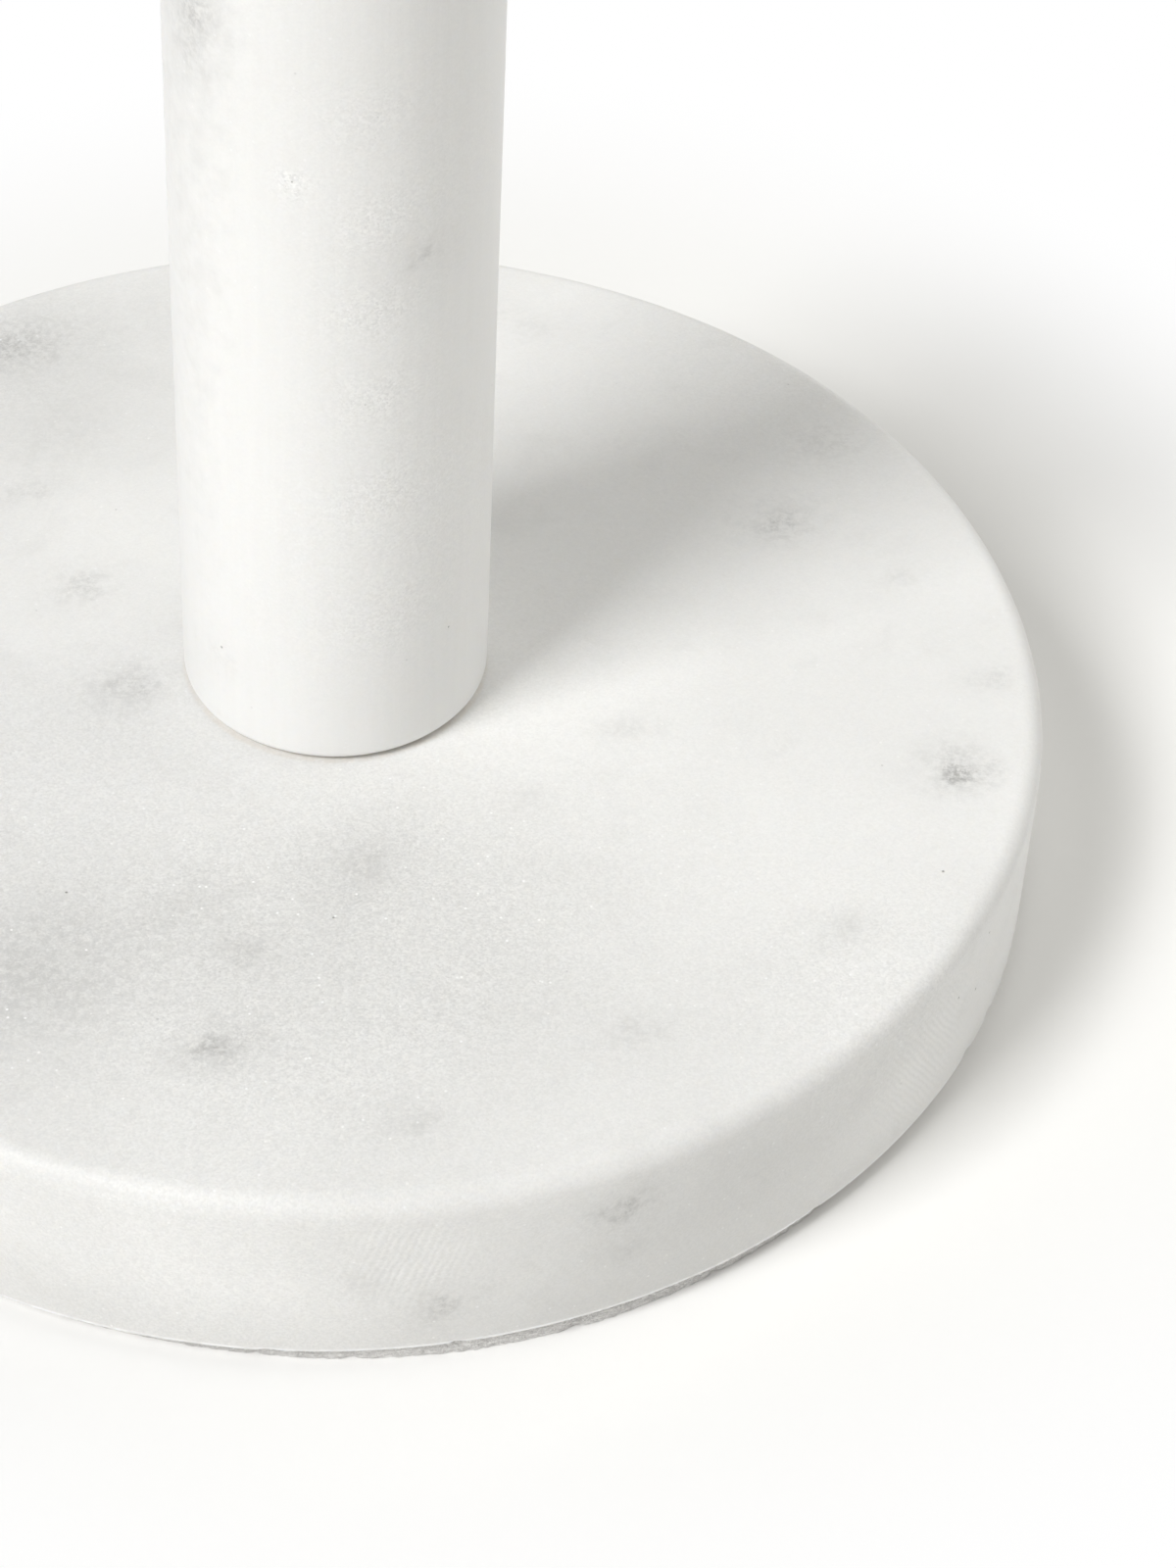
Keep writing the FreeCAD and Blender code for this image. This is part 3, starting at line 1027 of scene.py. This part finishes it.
def marble(name, figure):
    """Honed white marble: soft clouds, grey marks and a sugary grain."""
    stone = bpy.context.scene.holder_stone
    material, tree, shader, position = start_material(name)
    ragged = drift(tree, position, 420.0, 4.0, 0.6)
    ragged = move(tree, "MULTIPLY", ragged, (6.2 * MM, 4.2 * MM, 4.2 * MM))
    ragged = move(tree, "ADD", position, ragged)
    clouds = use(
        tree,
        "stone clouds",
        position=move(tree, "ADD", position, figure["drift"]),
        cloud_size=stone.cloud_size,
        wisp_size=stone.cloud_size * 0.16,
    )
    crystals = use(
        tree,
        "stone crystals",
        position=position,
        crystal_size=stone.crystal_size,
        sparkle_share=0.16,
        fleck_share=0.006,
    )
    grain = crystals["Grain"]
    streaks = use(tree, "drawn lines", position=position, **figure["streaks"])["Lines"]

    spot = ("reach", "depth")
    marks = chain_up(tree, "grey mark", ragged, figure["marks"], spot, grain=grain)
    coarse = chain_up(tree, "grey mark", ragged, figure["grain"], spot, grain=0.8)
    coarse = calc(tree, "MINIMUM", coarse, 1.0)
    haze = chain_up(tree, "grey mark", ragged, figure["haze"], spot, grain=0.7)
    holes = chain_up(tree, "pinhole", position, figure["pinholes"], ("radius",))
    ground = chain_up(
        tree, "grinding lines", position, figure["grinding"], ("reach", "lines_across")
    )

    # Grey layers: on the base the side gets darker towards the bottom; on the column they are
    # painted shade on the key-lit side and painted light from the base's bounce.
    for direction, start, end, depth in figure["tone_and_shade_layers"]:
        into = reach_along(tree, ragged, direction)
        layer_tone_and_shade = span(tree, into, start * MM, end * MM, 0.0, depth)
        haze = calc(tree, "ADD", haze, layer_tone_and_shade)
    cloud_weight, wisp_weight = figure["clouding"]
    grey = weigh(
        tree, (clouds["Clouds"], cloud_weight), (clouds["Wisps"], wisp_weight), (haze, 1.0)
    )
    grey = calc(tree, "MINIMUM", grey, 1.0)
    # The column's whitening is painted light from the base's bounce.
    white = opaque(stone.stone_colour, figure["whitening_for_bounce_light"])
    colour = tint(tree, grey, white, opaque(stone.cloud_colour))
    flakes = span(tree, cloud(tree, position, 1500.0, 4.0, 0.7), 0.36, 0.64, 0.45, 1.5)
    marks = calc(tree, "MINIMUM", calc(tree, "MULTIPLY", marks, flakes), 1.0)
    colour = tint(tree, marks, colour, opaque(stone.mark_colour))

    swing = blend(tree, coarse, *figure["grain_tone"])
    grain_swing = calc(tree, "MULTIPLY", calc(tree, "SUBTRACT", grain, 0.5), swing)
    streak_swing = calc(tree, "SUBTRACT", streaks, 0.5)
    tone = weigh(tree, (grain_swing, 1.0), (streak_swing, 0.012), (ground, 0.06), (1.0, 1.0))
    even = add(tree, "ShaderNodeCombineColor", {0: tone, 1: tone, 2: tone}).outputs[0]
    colour = tint(tree, 1.0, colour, even, "MULTIPLY")
    # A few crystals are painted near-white as a painted glint, and made smoother.
    glinting_crystals = calc(tree, "MULTIPLY", crystals["Sparkle"], span(tree, coarse, 0.0, 1.0, 0.35))
    colour = tint(tree, glinting_crystals, colour, PAINTED_GLINT_COLOUR)
    flecks = calc(tree, "MULTIPLY", crystals["Fleck"], 0.4)
    # Dark flecks, and painted shade in the pinholes.
    dark = calc(tree, "MULTIPLY", calc(tree, "MAXIMUM", flecks, holes), 0.75)
    colour = tint(tree, dark, colour, FLECK_AND_PIT_SHADE_COLOUR)
    # Painted shade where the column stands on the base, tinted warm.
    foot_shade = calc(tree, "MULTIPLY", ring_near(tree, position, figure["foot_shade"]), 0.28)
    colour = tint(tree, foot_shade, colour, FOOT_SHADE_COLOUR)
    # Edges made paler: bruised crystals, and a painted highlight along them.
    colour = tint(tree, ring_near(tree, position, figure["edge_highlight_and_bruise"]), colour, EDGE_HIGHLIGHT_AND_BRUISE_COLOUR)

    honed = 0.72 - 0.52 * stone.polish
    rough = weigh(
        tree,
        (grey, 0.07),
        (crystals["Height"], 0.07),
        (glinting_crystals, -0.2),
        (honed, 1.0),
    )
    height = weigh(
        tree,
        (crystals["Height"], figure["grain_depth"]),
        (streaks, figure["streak_depth"]),
        (ground, 0.016),
        (holes, -0.12),
        (cloud(tree, position, 55.0), 0.05),
    )
    constants = {
        "IOR": 1.49,
        "Subsurface Weight": 0.22,
        "Subsurface Radius": (1.0, 0.86, 0.68),
        "Subsurface Scale": 1.6 * MM,
    }
    dress(tree, shader, colour, rough, height, constants)
    return material


def wool_felt():
    """Pressed wool felt with crossed fibres."""
    felt = bpy.context.scene.holder_pad.felt_colour
    material, tree, shader, position = start_material("grey wool felt")
    wool = use(
        tree, "felt fibres", position=position, fibre_width=0.22 * MM, fibre_length=2.4 * MM
    )
    # Painted shade: the hollows between the tufts are darker and the raised tufts lighter.
    colour = tint(tree, wool["Tufts"], opaque(felt, 0.74), opaque(felt))
    colour = tint(tree, wool["Fibres"], colour, opaque(felt, 1.15, 0.95))
    rough = blend(tree, wool["Tufts"], 0.97, 0.86)
    height = weigh(tree, (wool["Fibres"], 0.10), (wool["Tufts"], 0.16))
    constants = {"Sheen Weight": 0.35, "Sheen Roughness": 0.5, "Specular IOR Level": 0.2}
    dress(tree, shader, colour, rough, height, constants)
    return material


def soft_film():
    """Milky adhesive film with trapped air and small wrinkles."""
    film = bpy.context.scene.holder_pad.film_colour
    material, tree, shader, position = start_material("milky adhesive film")
    wear = use(tree, "handling wear", position=position, patch_size=6 * MM, cover=0.55)
    colour = tint(tree, wear["Wear"], opaque(film), opaque(film, 1.18))
    rough = blend(tree, wear["Wear"], 0.34, 0.6)
    height = weigh(tree, (wear["Wear"], 0.03), (wear["Scratches"], 0.02))
    dress(tree, shader, colour, rough, height)
    return material


def clear_plastic():
    """Clear flexible plastic with light scuffs."""
    clear = bpy.context.scene.holder_hardware.washer_colour
    material, tree, shader, position = start_material("clear soft plastic")
    wear = use(tree, "handling wear", position=position, patch_size=2.5 * MM, cover=0.45)
    colour = tint(tree, wear["Wear"], opaque(clear), opaque(clear, 0.9))
    rough = weigh(tree, (wear["Wear"], 0.22), (wear["Scratches"], 0.15), (1.0, 0.12))
    height = calc(tree, "MULTIPLY", wear["Scratches"], 0.006)
    dress(tree, shader, colour, rough, height, {"IOR": 1.5, "Transmission Weight": 0.82})
    return material


def turned_metal(name, metal, dark_share, smooth, crest, root):
    """Machined metal: fine turning lines, polished crests, and thread roots painted darker as
    painted shade.
    """
    material, tree, shader, position = start_material(name)
    lines = use(
        tree, "drawn lines", position=position, size_round=6 * MM, size_upright=0.12 * MM
    )["Lines"]
    wear = use(tree, "handling wear", position=position, patch_size=1.8 * MM, cover=0.5)
    radius = measure(tree, move(tree, "MULTIPLY", position, (1.0, 1.0, 0.0)))
    groove = span(tree, radius, crest, root)
    dark = opaque(metal, dark_share)
    # Painted shade: the thread roots are tinted darker.
    colour = tint(tree, calc(tree, "MULTIPLY", groove, 0.6), opaque(metal), dark)
    colour = tint(tree, calc(tree, "MULTIPLY", wear["Wear"], 0.35), colour, dark)
    rough = weigh(tree, (lines, 0.10), (wear["Wear"], 0.12), (groove, 0.10), (smooth, 1.0))
    height = weigh(tree, (lines, 0.004), (wear["Scratches"], 0.002))
    dress(tree, shader, colour, rough, height, {"Metallic": 1.0})
    return material


def cured_resin():
    """Poured resin: cloudy, with a few bubbles."""
    resin = bpy.context.scene.holder_hardware.resin_colour
    material, tree, shader, position = start_material("cured bonding resin")
    clouds = use(
        tree, "stone clouds", position=position, cloud_size=6 * MM, wisp_size=1.5 * MM
    )
    bubbles = use(
        tree,
        "stone crystals",
        position=position,
        crystal_size=0.5 * MM,
        sparkle_share=0.05,
        fleck_share=0.10,
    )["Fleck"]
    colour = tint(tree, clouds["Clouds"], opaque(resin), opaque(resin, 1.2))
    # Bubbles are dented and painted darker: painted shade in their pits.
    colour = tint(tree, calc(tree, "MULTIPLY", bubbles, 0.7), colour, opaque(resin, 0.6))
    rough = blend(tree, clouds["Wisps"], 0.28, 0.46)
    height = weigh(tree, (clouds["Wisps"], 0.04), (bubbles, -0.06))
    constants = {"Subsurface Weight": 0.3, "Subsurface Scale": 1.0 * MM}
    dress(tree, shader, colour, rough, height, constants)
    return material


def seen_directly(tree):
    """1 for what the camera sees itself, in a mirror or through clear plastic, and 0 for light."""
    rays = add(tree, "ShaderNodeLightPath").outputs
    seen = calc(tree, "MAXIMUM", rays["Is Camera Ray"], rays["Is Glossy Ray"])
    return calc(tree, "MAXIMUM", seen, rays["Is Transmission Ray"])


def studio_floor():
    """Pale floor that turns into the white background away from the holder."""
    floor = bpy.context.scene.holder_studio.floor_colour
    material, tree, shader, position = start_material("pale floor")
    speckle = cloud(tree, position, 900.0, 3.0, 0.6)
    colour = tint(tree, speckle, opaque(floor, 0.985), opaque(floor))
    tree.links.new(colour, shader.inputs["Base Color"])
    shader.inputs["Roughness"].default_value = 0.9
    shader.inputs["Specular IOR Level"].default_value = 0.2
    distance = measure(tree, move(tree, "SUBTRACT", position, SHADOW_MIDDLE))
    away = span(tree, distance, FLOOR_FADE_START, FLOOR_FADE_END)
    factor = calc(tree, "MULTIPLY", away, seen_directly(tree))
    white = add(tree, "ShaderNodeEmission", {"Color": WHITE, "Strength": 1.0}).outputs[0]
    mixed = add(tree, "ShaderNodeMixShader", {0: factor, 1: shader.outputs[0], 2: white})
    output = next(made for made in tree.nodes if made.type == "OUTPUT_MATERIAL")
    tree.links.new(mixed.outputs[0], output.inputs["Surface"])
    lay_out(tree)
    return material


# ---------------------------------------------------------------------------------------------
# Pieces


class HOLDER_OT_base(Operator):
    """Make the round marble base with its hand-worked edges"""

    bl_idname = "towel_holder.make_base"
    bl_label = "Marble Base"
    bl_options = {"REGISTER", "UNDO"}

    def execute(self, context):
        edges = context.scene.holder_edges
        outside, low, top = round_size("base")
        counterbore = round_size("insert_resin")[0]
        ceiling = low + COUNTERBORE_DEPTH
        ease = 0.25 * MM

        def profile(angle):
            change = 1.0 + edges.rim_wander * wander(angle, 2.2, 3.0)
            change += 0.4 * edges.rim_wander * wander(angle, 9.0, 7.0)
            rounding = edges.rim_rounding * change
            bevel = edges.bottom_bevel * (1.0 + 0.3 * wander(angle, 14.0, 11.0))
            points = path((HOLE_RADIUS + ease, top, 44), (outside - rounding, top))
            points += arc(outside - rounding, top - rounding, rounding, 90, 0, 12)
            points += path(
                (outside, top - rounding - 0.8 * MM, 16),
                (outside, low + 2.4 * MM, 10),
                (outside, low + bevel),
            )
            points += arc(outside - bevel, low + bevel, bevel, 0, -90, 4)
            points += closed_path(
                (outside - 1.2 * MM, low, 20),
                (counterbore, low, 5),
                (counterbore, ceiling, 4),
                (HOLE_RADIUS, ceiling, 8),
                (HOLE_RADIUS, top - ease),
            )
            return points

        shape = bmesh.new()
        add_turned(shape, profile, 720, closed=True)
        knock_chips(shape, low, outside, edges.chip_depth, 26, 5)
        piece = finish_piece("marble_base", shape)
        finish = marble("honed white marble, base", BASE_FIGURE)
        fit_to_frame(piece, "base", "base", finish)
        return {"FINISHED"}


class HOLDER_OT_column(Operator):
    """Make the marble column with its rounded foot, rounded top and blind socket"""

    bl_idname = "towel_holder.make_column"
    bl_label = "Marble Column"
    bl_options = {"REGISTER", "UNDO"}

    def execute(self, context):
        edges = context.scene.holder_edges
        outside, foot, top = round_size("column")
        socket, recess_top, socket_top = round_size("stud_resin")

        def skin(angle, height):
            place = Vector((math.cos(angle) * 0.7, math.sin(angle) * 0.7, height * 22.0))
            return outside - 0.05 * MM * (1.0 + noise.noise(place))

        def profile(angle):
            foot_rounding = edges.foot_rounding * (1.0 + 0.12 * wander(angle, 2.0, 21.0))
            top_rounding = edges.top_rounding * (1.0 + 0.08 * wander(angle, 2.0, 23.0))
            ankle = foot + foot_rounding
            shoulder = top - top_rounding
            skirt = skin(angle, ankle) - foot_rounding
            crown = skin(angle, shoulder) - top_rounding
            points = path(
                (0.0, socket_top, 3),
                (socket, socket_top, 12),
                (socket, recess_top, 5),
                (FOOT_RECESS_RADIUS, recess_top, 2),
                (FOOT_RECESS_RADIUS, foot, 3),
                (skirt, foot),
            )
            points += arc(skirt, ankle, foot_rounding, -90, 0, 9)
            steps = 146
            for step in range(1, steps):
                height = ankle + (shoulder - ankle) * step / steps
                points.append((skin(angle, height), height))
            points += arc(crown, shoulder, top_rounding, 0, 90, 14)
            points += closed_path((crown - 0.5 * MM, top, 9), (0.0, top))
            return points

        piece = turned_piece("marble_column", profile, 240)
        finish = marble("honed white marble, column", COLUMN_FIGURE)
        fit_to_frame(piece, "column", "column", finish)
        return {"FINISHED"}


class HOLDER_OT_pad(Operator):
    """Make the felt pad and the adhesive film that holds it under the base"""

    bl_idname = "towel_holder.make_pad"
    bl_label = "Felt Pad and Film"
    bl_options = {"REGISTER", "UNDO"}

    def execute(self, context):
        settings = context.scene.holder_pad
        radius, low, high = round_size("pad")
        chance = random.Random(17)
        snips = []
        for _ in range(30):
            snips.append((chance.uniform(0.0, math.tau), chance.uniform(0.004, 0.016)))

        def cut(angle):
            stray = 0.6 * wander(angle, 3.0, 31.0) + 0.4 * wander(angle, 16.0, 33.0)
            edge = radius - settings.cut_wander * (1.0 - stray)
            away = abs((angle - PAD_BULGE + math.pi) % math.tau - math.pi)
            edge -= settings.cut_inset * (1.0 - math.exp(-((away / 0.5) ** 2)))
            for place, width in snips:
                away = abs((angle - place + math.pi) % math.tau - math.pi) / width
                if away < 1.0:
                    edge -= 0.35 * MM * (1.0 - away)
            return edge

        def profile(angle):
            edge = cut(angle)
            points = path(
                (0.0, high, 16), (edge - 1.0 * MM, high, 3), (edge - 0.15 * MM, high)
            )
            steps = 8
            for step in range(steps + 1):
                height = high + (low - high) * step / steps
                place = Vector((math.cos(angle), math.sin(angle), height / radius)) * 90.0
                fuzz = 0.16 * MM * (noise.noise(place) - 0.2)
                bulge = 0.12 * MM * math.sin(math.pi * step / steps)
                points.append((min(edge - 0.12 * MM + fuzz + bulge, radius), height))
            points += closed_path((edge - 0.6 * MM, low, 18), (0.0, low))
            return points

        slide = Vector((*settings.shift, 0.0))
        pad = turned_piece("felt_pad", profile, 1080, smooth_angle=60.0, slide=slide)
        fit_to_frame(pad, "pad", "base", wool_felt())

        film_radius, film_low, film_high = round_size("pad_film")

        def film_profile(angle):
            edge = film_radius - 0.15 * MM * (1.0 + wander(angle, 6.0, 41.0))
            return closed_path(
                (0.0, film_high, 12), (edge, film_high, 3), (edge, film_low, 12), (0.0, film_low)
            )

        film = turned_piece("adhesive_film", film_profile, 360, slide=slide)
        fit_to_frame(film, "pad_film", "base", soft_film())
        return {"FINISHED"}


class HOLDER_OT_washer(Operator):
    """Make the clear washer that keeps the two stones apart"""

    bl_idname = "towel_holder.make_washer"
    bl_label = "Clear Washer"
    bl_options = {"REGISTER", "UNDO"}

    def execute(self, context):
        outside, low, high = round_size("foot_washer")
        inside = round_size("stud")[0] + 0.1 * MM
        ease = 0.22 * MM

        def profile(angle):
            edge = outside - 0.04 * MM * (1.0 + wander(angle, 4.0, 51.0))
            points = arc(edge - ease, low + ease, ease, -90, 0, 4)
            points += arc(edge - ease, high - ease, ease, 0, 90, 4)
            points += path((edge - 2 * ease, high, 8), (inside + 2 * ease, high))
            points += arc(inside + ease, high - ease, ease, 90, 180, 4)
            points += arc(inside + ease, low + ease, ease, 180, 270, 4)
            points += path((inside + 2 * ease, low, 8), (edge - 2 * ease, low))
            return points

        piece = turned_piece("clear_washer", profile, 192, closed=True, smooth_angle=60.0)
        fit_to_frame(piece, "foot_washer", "washer", clear_plastic())
        return {"FINISHED"}


class HOLDER_OT_stud(Operator):
    """Make the threaded steel stud"""

    bl_idname = "towel_holder.make_stud"
    bl_label = "Threaded Stud"
    bl_options = {"REGISTER", "UNDO"}

    def execute(self, context):
        hardware = context.scene.holder_hardware
        crest, low, high = round_size("stud")
        root = crest - hardware.thread_depth
        point = 0.9 * MM

        def form(share):
            return thread_radius(share, crest, root, 0.125, 0.25)

        def limit(radius, height):
            from_end = min(height - low, high - height)
            return min(radius, crest - point + max(0.0, from_end))

        shape = bmesh.new()
        add_thread(shape, low, high, hardware.thread_pitch, 96, form, limit)
        piece = finish_piece("threaded_stud", shape, 40.0)
        finish = turned_metal(
            "zinc-plated steel", hardware.steel_colour, 0.55, 0.24, crest - 0.1 * MM, root
        )
        fit_to_frame(piece, "stud", "column", finish)
        return {"FINISHED"}


def flange_edge(angle, radius):
    """Distance of the scalloped flange's edge from the axis."""
    step = math.tau / SCALLOPS
    turn = (angle + step / 2) % step - step / 2
    reach = SCALLOP_RADIUS**2 - (radius * math.sin(turn)) ** 2
    if reach <= 0.0:
        return radius
    return min(radius, radius * math.cos(turn) - math.sqrt(reach))


class HOLDER_OT_insert(Operator):
    """Make the brass insert with its scalloped flange, knurled barrel and threaded bore"""

    bl_idname = "towel_holder.make_insert"
    bl_label = "Threaded Insert"
    bl_options = {"REGISTER", "UNDO"}

    def execute(self, context):
        hardware = context.scene.holder_hardware
        flange, low, high = round_size("base_insert")
        shoulder = low + FLANGE_HEIGHT
        crest = round_size("stud")[0] - hardware.thread_depth + 0.08 * MM
        mouth = BORE_RADIUS + 0.5 * MM
        ease = 0.15 * MM
        around = 192

        def form(share):
            return thread_radius(share + 0.5, crest, BORE_RADIUS, 0.25, 0.18)

        def limit(radius, height):
            from_end = min(height - low, high - height)
            return max(radius, mouth - max(0.0, from_end))

        def barrel(angle, height):
            above = height - shoulder
            band = math.sin(above / MM * math.tau / 4.5)
            if band < -0.55 or above < 0.6 * MM or high - height < 0.8 * MM:
                return BARREL_RADIUS - 0.18 * MM
            return BARREL_RADIUS - 0.09 * MM * (1.0 - math.cos(48 * angle))

        def profile(angle):
            edge = flange_edge(angle, flange)
            points = closed_path((mouth, high, 3), (BARREL_RADIUS - 0.4 * MM, high))
            barrel_top = high - 0.2 * MM
            steps = 45
            for step in range(steps + 1):
                height = barrel_top + (shoulder - barrel_top) * step / steps
                points.append((barrel(angle, height), height))
            points += closed_path((BARREL_RADIUS, shoulder, 4), (edge - ease, shoulder))
            points += closed_path((edge, shoulder - ease, 4), (edge, low + ease))
            points += closed_path((edge - ease, low, 5), (mouth, low))
            return points

        shape = bmesh.new()
        add_thread(shape, low, high, hardware.thread_pitch, around, form, limit)
        add_turned(shape, profile, around)
        piece = finish_piece("threaded_insert", shape, 40.0)
        finish = turned_metal(
            "turned brass", hardware.brass_colour, 0.5, 0.22, crest, BORE_RADIUS
        )
        fit_to_frame(piece, "base_insert", "base", finish)
        return {"FINISHED"}


def sagging(start, end, level, sink, steps):
    """Profile points across the free surface of a resin, lower in its middle."""
    points = []
    for step in range(steps + 1):
        share = step / steps
        radius = start + (end - start) * share
        points.append((radius, level - sink * math.sin(math.pi * share)))
    return points


class HOLDER_OT_resins(Operator):
    """Make the two pourings of resin that bond the insert and the stud"""

    bl_idname = "towel_holder.make_resins"
    bl_label = "Bonding Resins"
    bl_options = {"REGISTER", "UNDO"}

    def execute(self, context):
        finish = cured_resin()
        outside, low, high = round_size("insert_resin")
        ceiling = low + COUNTERBORE_DEPTH
        flange, flange_low, _ = round_size("base_insert")
        flange_high = flange_low + FLANGE_HEIGHT

        def insert_profile(angle):
            edge = flange_edge(angle, flange)
            points = sagging(outside, RESIN_WAY, low, -0.08 * MM, 10)
            points += path(
                (RESIN_WAY, low + 0.6 * MM, 3),
                (RESIN_WAY, flange_low, 3),
                (edge, flange_low, 3),
                (edge, flange_high, 3),
                (BARREL_RADIUS, flange_high, 8),
                (BARREL_RADIUS, high),
            )
            points += sagging(BARREL_RADIUS, HOLE_RADIUS, high, 0.16 * MM, 6)
            points += path(
                (HOLE_RADIUS, high - 0.5 * MM, 8),
                (HOLE_RADIUS, ceiling, 4),
                (outside, ceiling, 5),
                (outside, low + 0.3 * MM),
            )
            return points

        piece = turned_piece("insert_bonding_resin", insert_profile, 192, closed=True)
        fit_to_frame(piece, "insert_resin", "base", finish)

        wall, bottom, top = round_size("stud_resin")
        stud, _, stud_top = round_size("stud")

        def stud_profile(angle):
            points = path((0.0, top, 4), (wall, top, 14), (wall, bottom + 0.3 * MM))
            points += sagging(wall, stud, bottom, -0.14 * MM, 6)
            points += closed_path(
                (stud, bottom + 0.4 * MM, 14), (stud, stud_top, 3), (0.0, stud_top)
            )
            return points

        piece = turned_piece("stud_bonding_resin", stud_profile, 128)
        fit_to_frame(piece, "stud_resin", "column", finish)
        return {"FINISHED"}


# ---------------------------------------------------------------------------------------------
# Studio


def soft_box(name, size, power, place, colour):
    """Hang a square soft light.

    The place is its bearing from the front towards the right and its rise, both in degrees,
    and its distance in metres.
    """
    light = bpy.data.lights.new(name, "AREA")
    light.shape = "SQUARE"
    light.size = size
    light.energy = power
    light.color = colour
    lamp = bpy.data.objects.new(name, light)
    bpy.context.scene.collection.objects.link(lamp)
    bearing = math.radians(place[0])
    rise = math.radians(place[1])
    level = math.cos(rise)
    back = Vector((math.sin(bearing) * level, -math.cos(bearing) * level, math.sin(rise)))
    lamp.location = LIGHT_AIM + back * place[2]
    lamp.rotation_euler = back.to_track_quat("Z", "Y").to_euler()


def make_floor():
    """Lay the floor under the pad."""
    shape = bmesh.new()
    bmesh.ops.create_grid(shape, x_segments=12, y_segments=12, size=3.0)
    mesh = bpy.data.meshes.new("floor")
    shape.to_mesh(mesh)
    shape.free()
    floor = bpy.data.objects.new("floor", mesh)
    bpy.context.scene.collection.objects.link(floor)
    floor.location.z = CAD_BOX[0].z
    mesh.materials.append(studio_floor())


def light_world(strength):
    """Even light from all round, in front of a white background."""
    world = bpy.data.worlds.new("studio")
    bpy.context.scene.world = world
    world.use_nodes = True
    tree = world.node_tree
    tree.nodes.clear()
    seen = seen_directly(tree)
    level = blend(tree, seen, strength, 1.0)
    colour = tint(tree, seen, opaque(WARM_LIGHT), WHITE)
    sky = add(tree, "ShaderNodeBackground", {"Color": colour, "Strength": level})
    output = tree.nodes.new("ShaderNodeOutputWorld")
    tree.links.new(sky.outputs[0], output.inputs["Surface"])
    lay_out(tree)


class HOLDER_OT_studio(Operator):
    """Set up the floor, the lights and the camera"""

    bl_idname = "towel_holder.make_studio"
    bl_label = "Studio"
    bl_options = {"REGISTER", "UNDO"}

    def execute(self, context):
        scene = context.scene
        studio = scene.holder_studio
        make_floor()
        light_world(studio.sky_light)
        key_place = (math.degrees(studio.key_direction), math.degrees(studio.key_height), 2.0)
        soft_box("key light", 0.73, studio.key_power, key_place, EVEN_LIGHT)
        soft_box("fill light", 0.6, studio.fill_power, (20.0, 15.0, 1.0), WARM_LIGHT)
        soft_box("side light", 0.5, studio.side_power, (115.0, 50.0, 0.8), WARM_LIGHT)
        soft_box("back light", 0.8, studio.back_power, (135.0, 22.0, 1.0), WARM_LIGHT)
        soft_box("rear light", 0.8, studio.rear_power, (180.0, 30.0, 1.0), WARM_LIGHT)

        lens = bpy.data.cameras.new("camera")
        lens.lens = studio.lens
        lens.sensor_width = 36.0
        lens.shift_y = studio.rise
        lens.clip_start = 0.01
        lens.clip_end = 20.0
        camera = bpy.data.objects.new("camera", lens)
        scene.collection.objects.link(camera)
        camera.location = studio.eye
        tilt = Matrix.Rotation(studio.tilt, 3, "X")
        roll = Matrix.Rotation(studio.roll, 3, "Z")
        camera.rotation_euler = (tilt @ roll).to_euler()
        scene.camera = camera
        scene.view_settings.view_transform = "Standard"
        return {"FINISHED"}


class HOLDER_PT_tools(Panel):
    """Lists the pieces of the towel holder and their settings"""

    bl_idname = "HOLDER_PT_tools"
    bl_label = "Towel Holder"
    bl_space_type = "VIEW_3D"
    bl_region_type = "UI"
    bl_category = "Towel Holder"

    def draw(self, context):
        layout = self.layout
        for piece in PIECES:
            layout.operator(piece.bl_idname)
        for name, settings in SETTINGS.items():
            box = layout.box()
            box.label(text=settings.__doc__)
            values = getattr(context.scene, name)
            for field in settings.__annotations__:
                box.prop(values, field)


PIECES = (
    HOLDER_OT_base,
    HOLDER_OT_column,
    HOLDER_OT_pad,
    HOLDER_OT_washer,
    HOLDER_OT_stud,
    HOLDER_OT_insert,
    HOLDER_OT_resins,
    HOLDER_OT_studio,
)
SETTINGS = {
    "holder_stone": StoneSettings,
    "holder_edges": EdgeSettings,
    "holder_pad": PadSettings,
    "holder_hardware": HardwareSettings,
    "holder_studio": StudioSettings,
}


def register():
    """Register the settings, the operators and the panel."""
    for name, settings in SETTINGS.items():
        bpy.utils.register_class(settings)
        setattr(bpy.types.Scene, name, PointerProperty(type=settings))
    for piece in PIECES:
        bpy.utils.register_class(piece)
    bpy.utils.register_class(HOLDER_PT_tools)


def unregister():
    """Take everything that register added away again."""
    bpy.utils.unregister_class(HOLDER_PT_tools)
    for piece in reversed(PIECES):
        bpy.utils.unregister_class(piece)
    for name, settings in SETTINGS.items():
        delattr(bpy.types.Scene, name)
        bpy.utils.unregister_class(settings)


def main():
    """Make the whole holder."""
    register()
    bpy.ops.towel_holder.make_base()
    bpy.ops.towel_holder.make_column()
    bpy.ops.towel_holder.make_pad()
    bpy.ops.towel_holder.make_washer()
    bpy.ops.towel_holder.make_stud()
    bpy.ops.towel_holder.make_insert()
    bpy.ops.towel_holder.make_resins()
    bpy.ops.towel_holder.make_studio()
    bpy.context.view_layer.update()


if __name__ == "__main__":
    main()
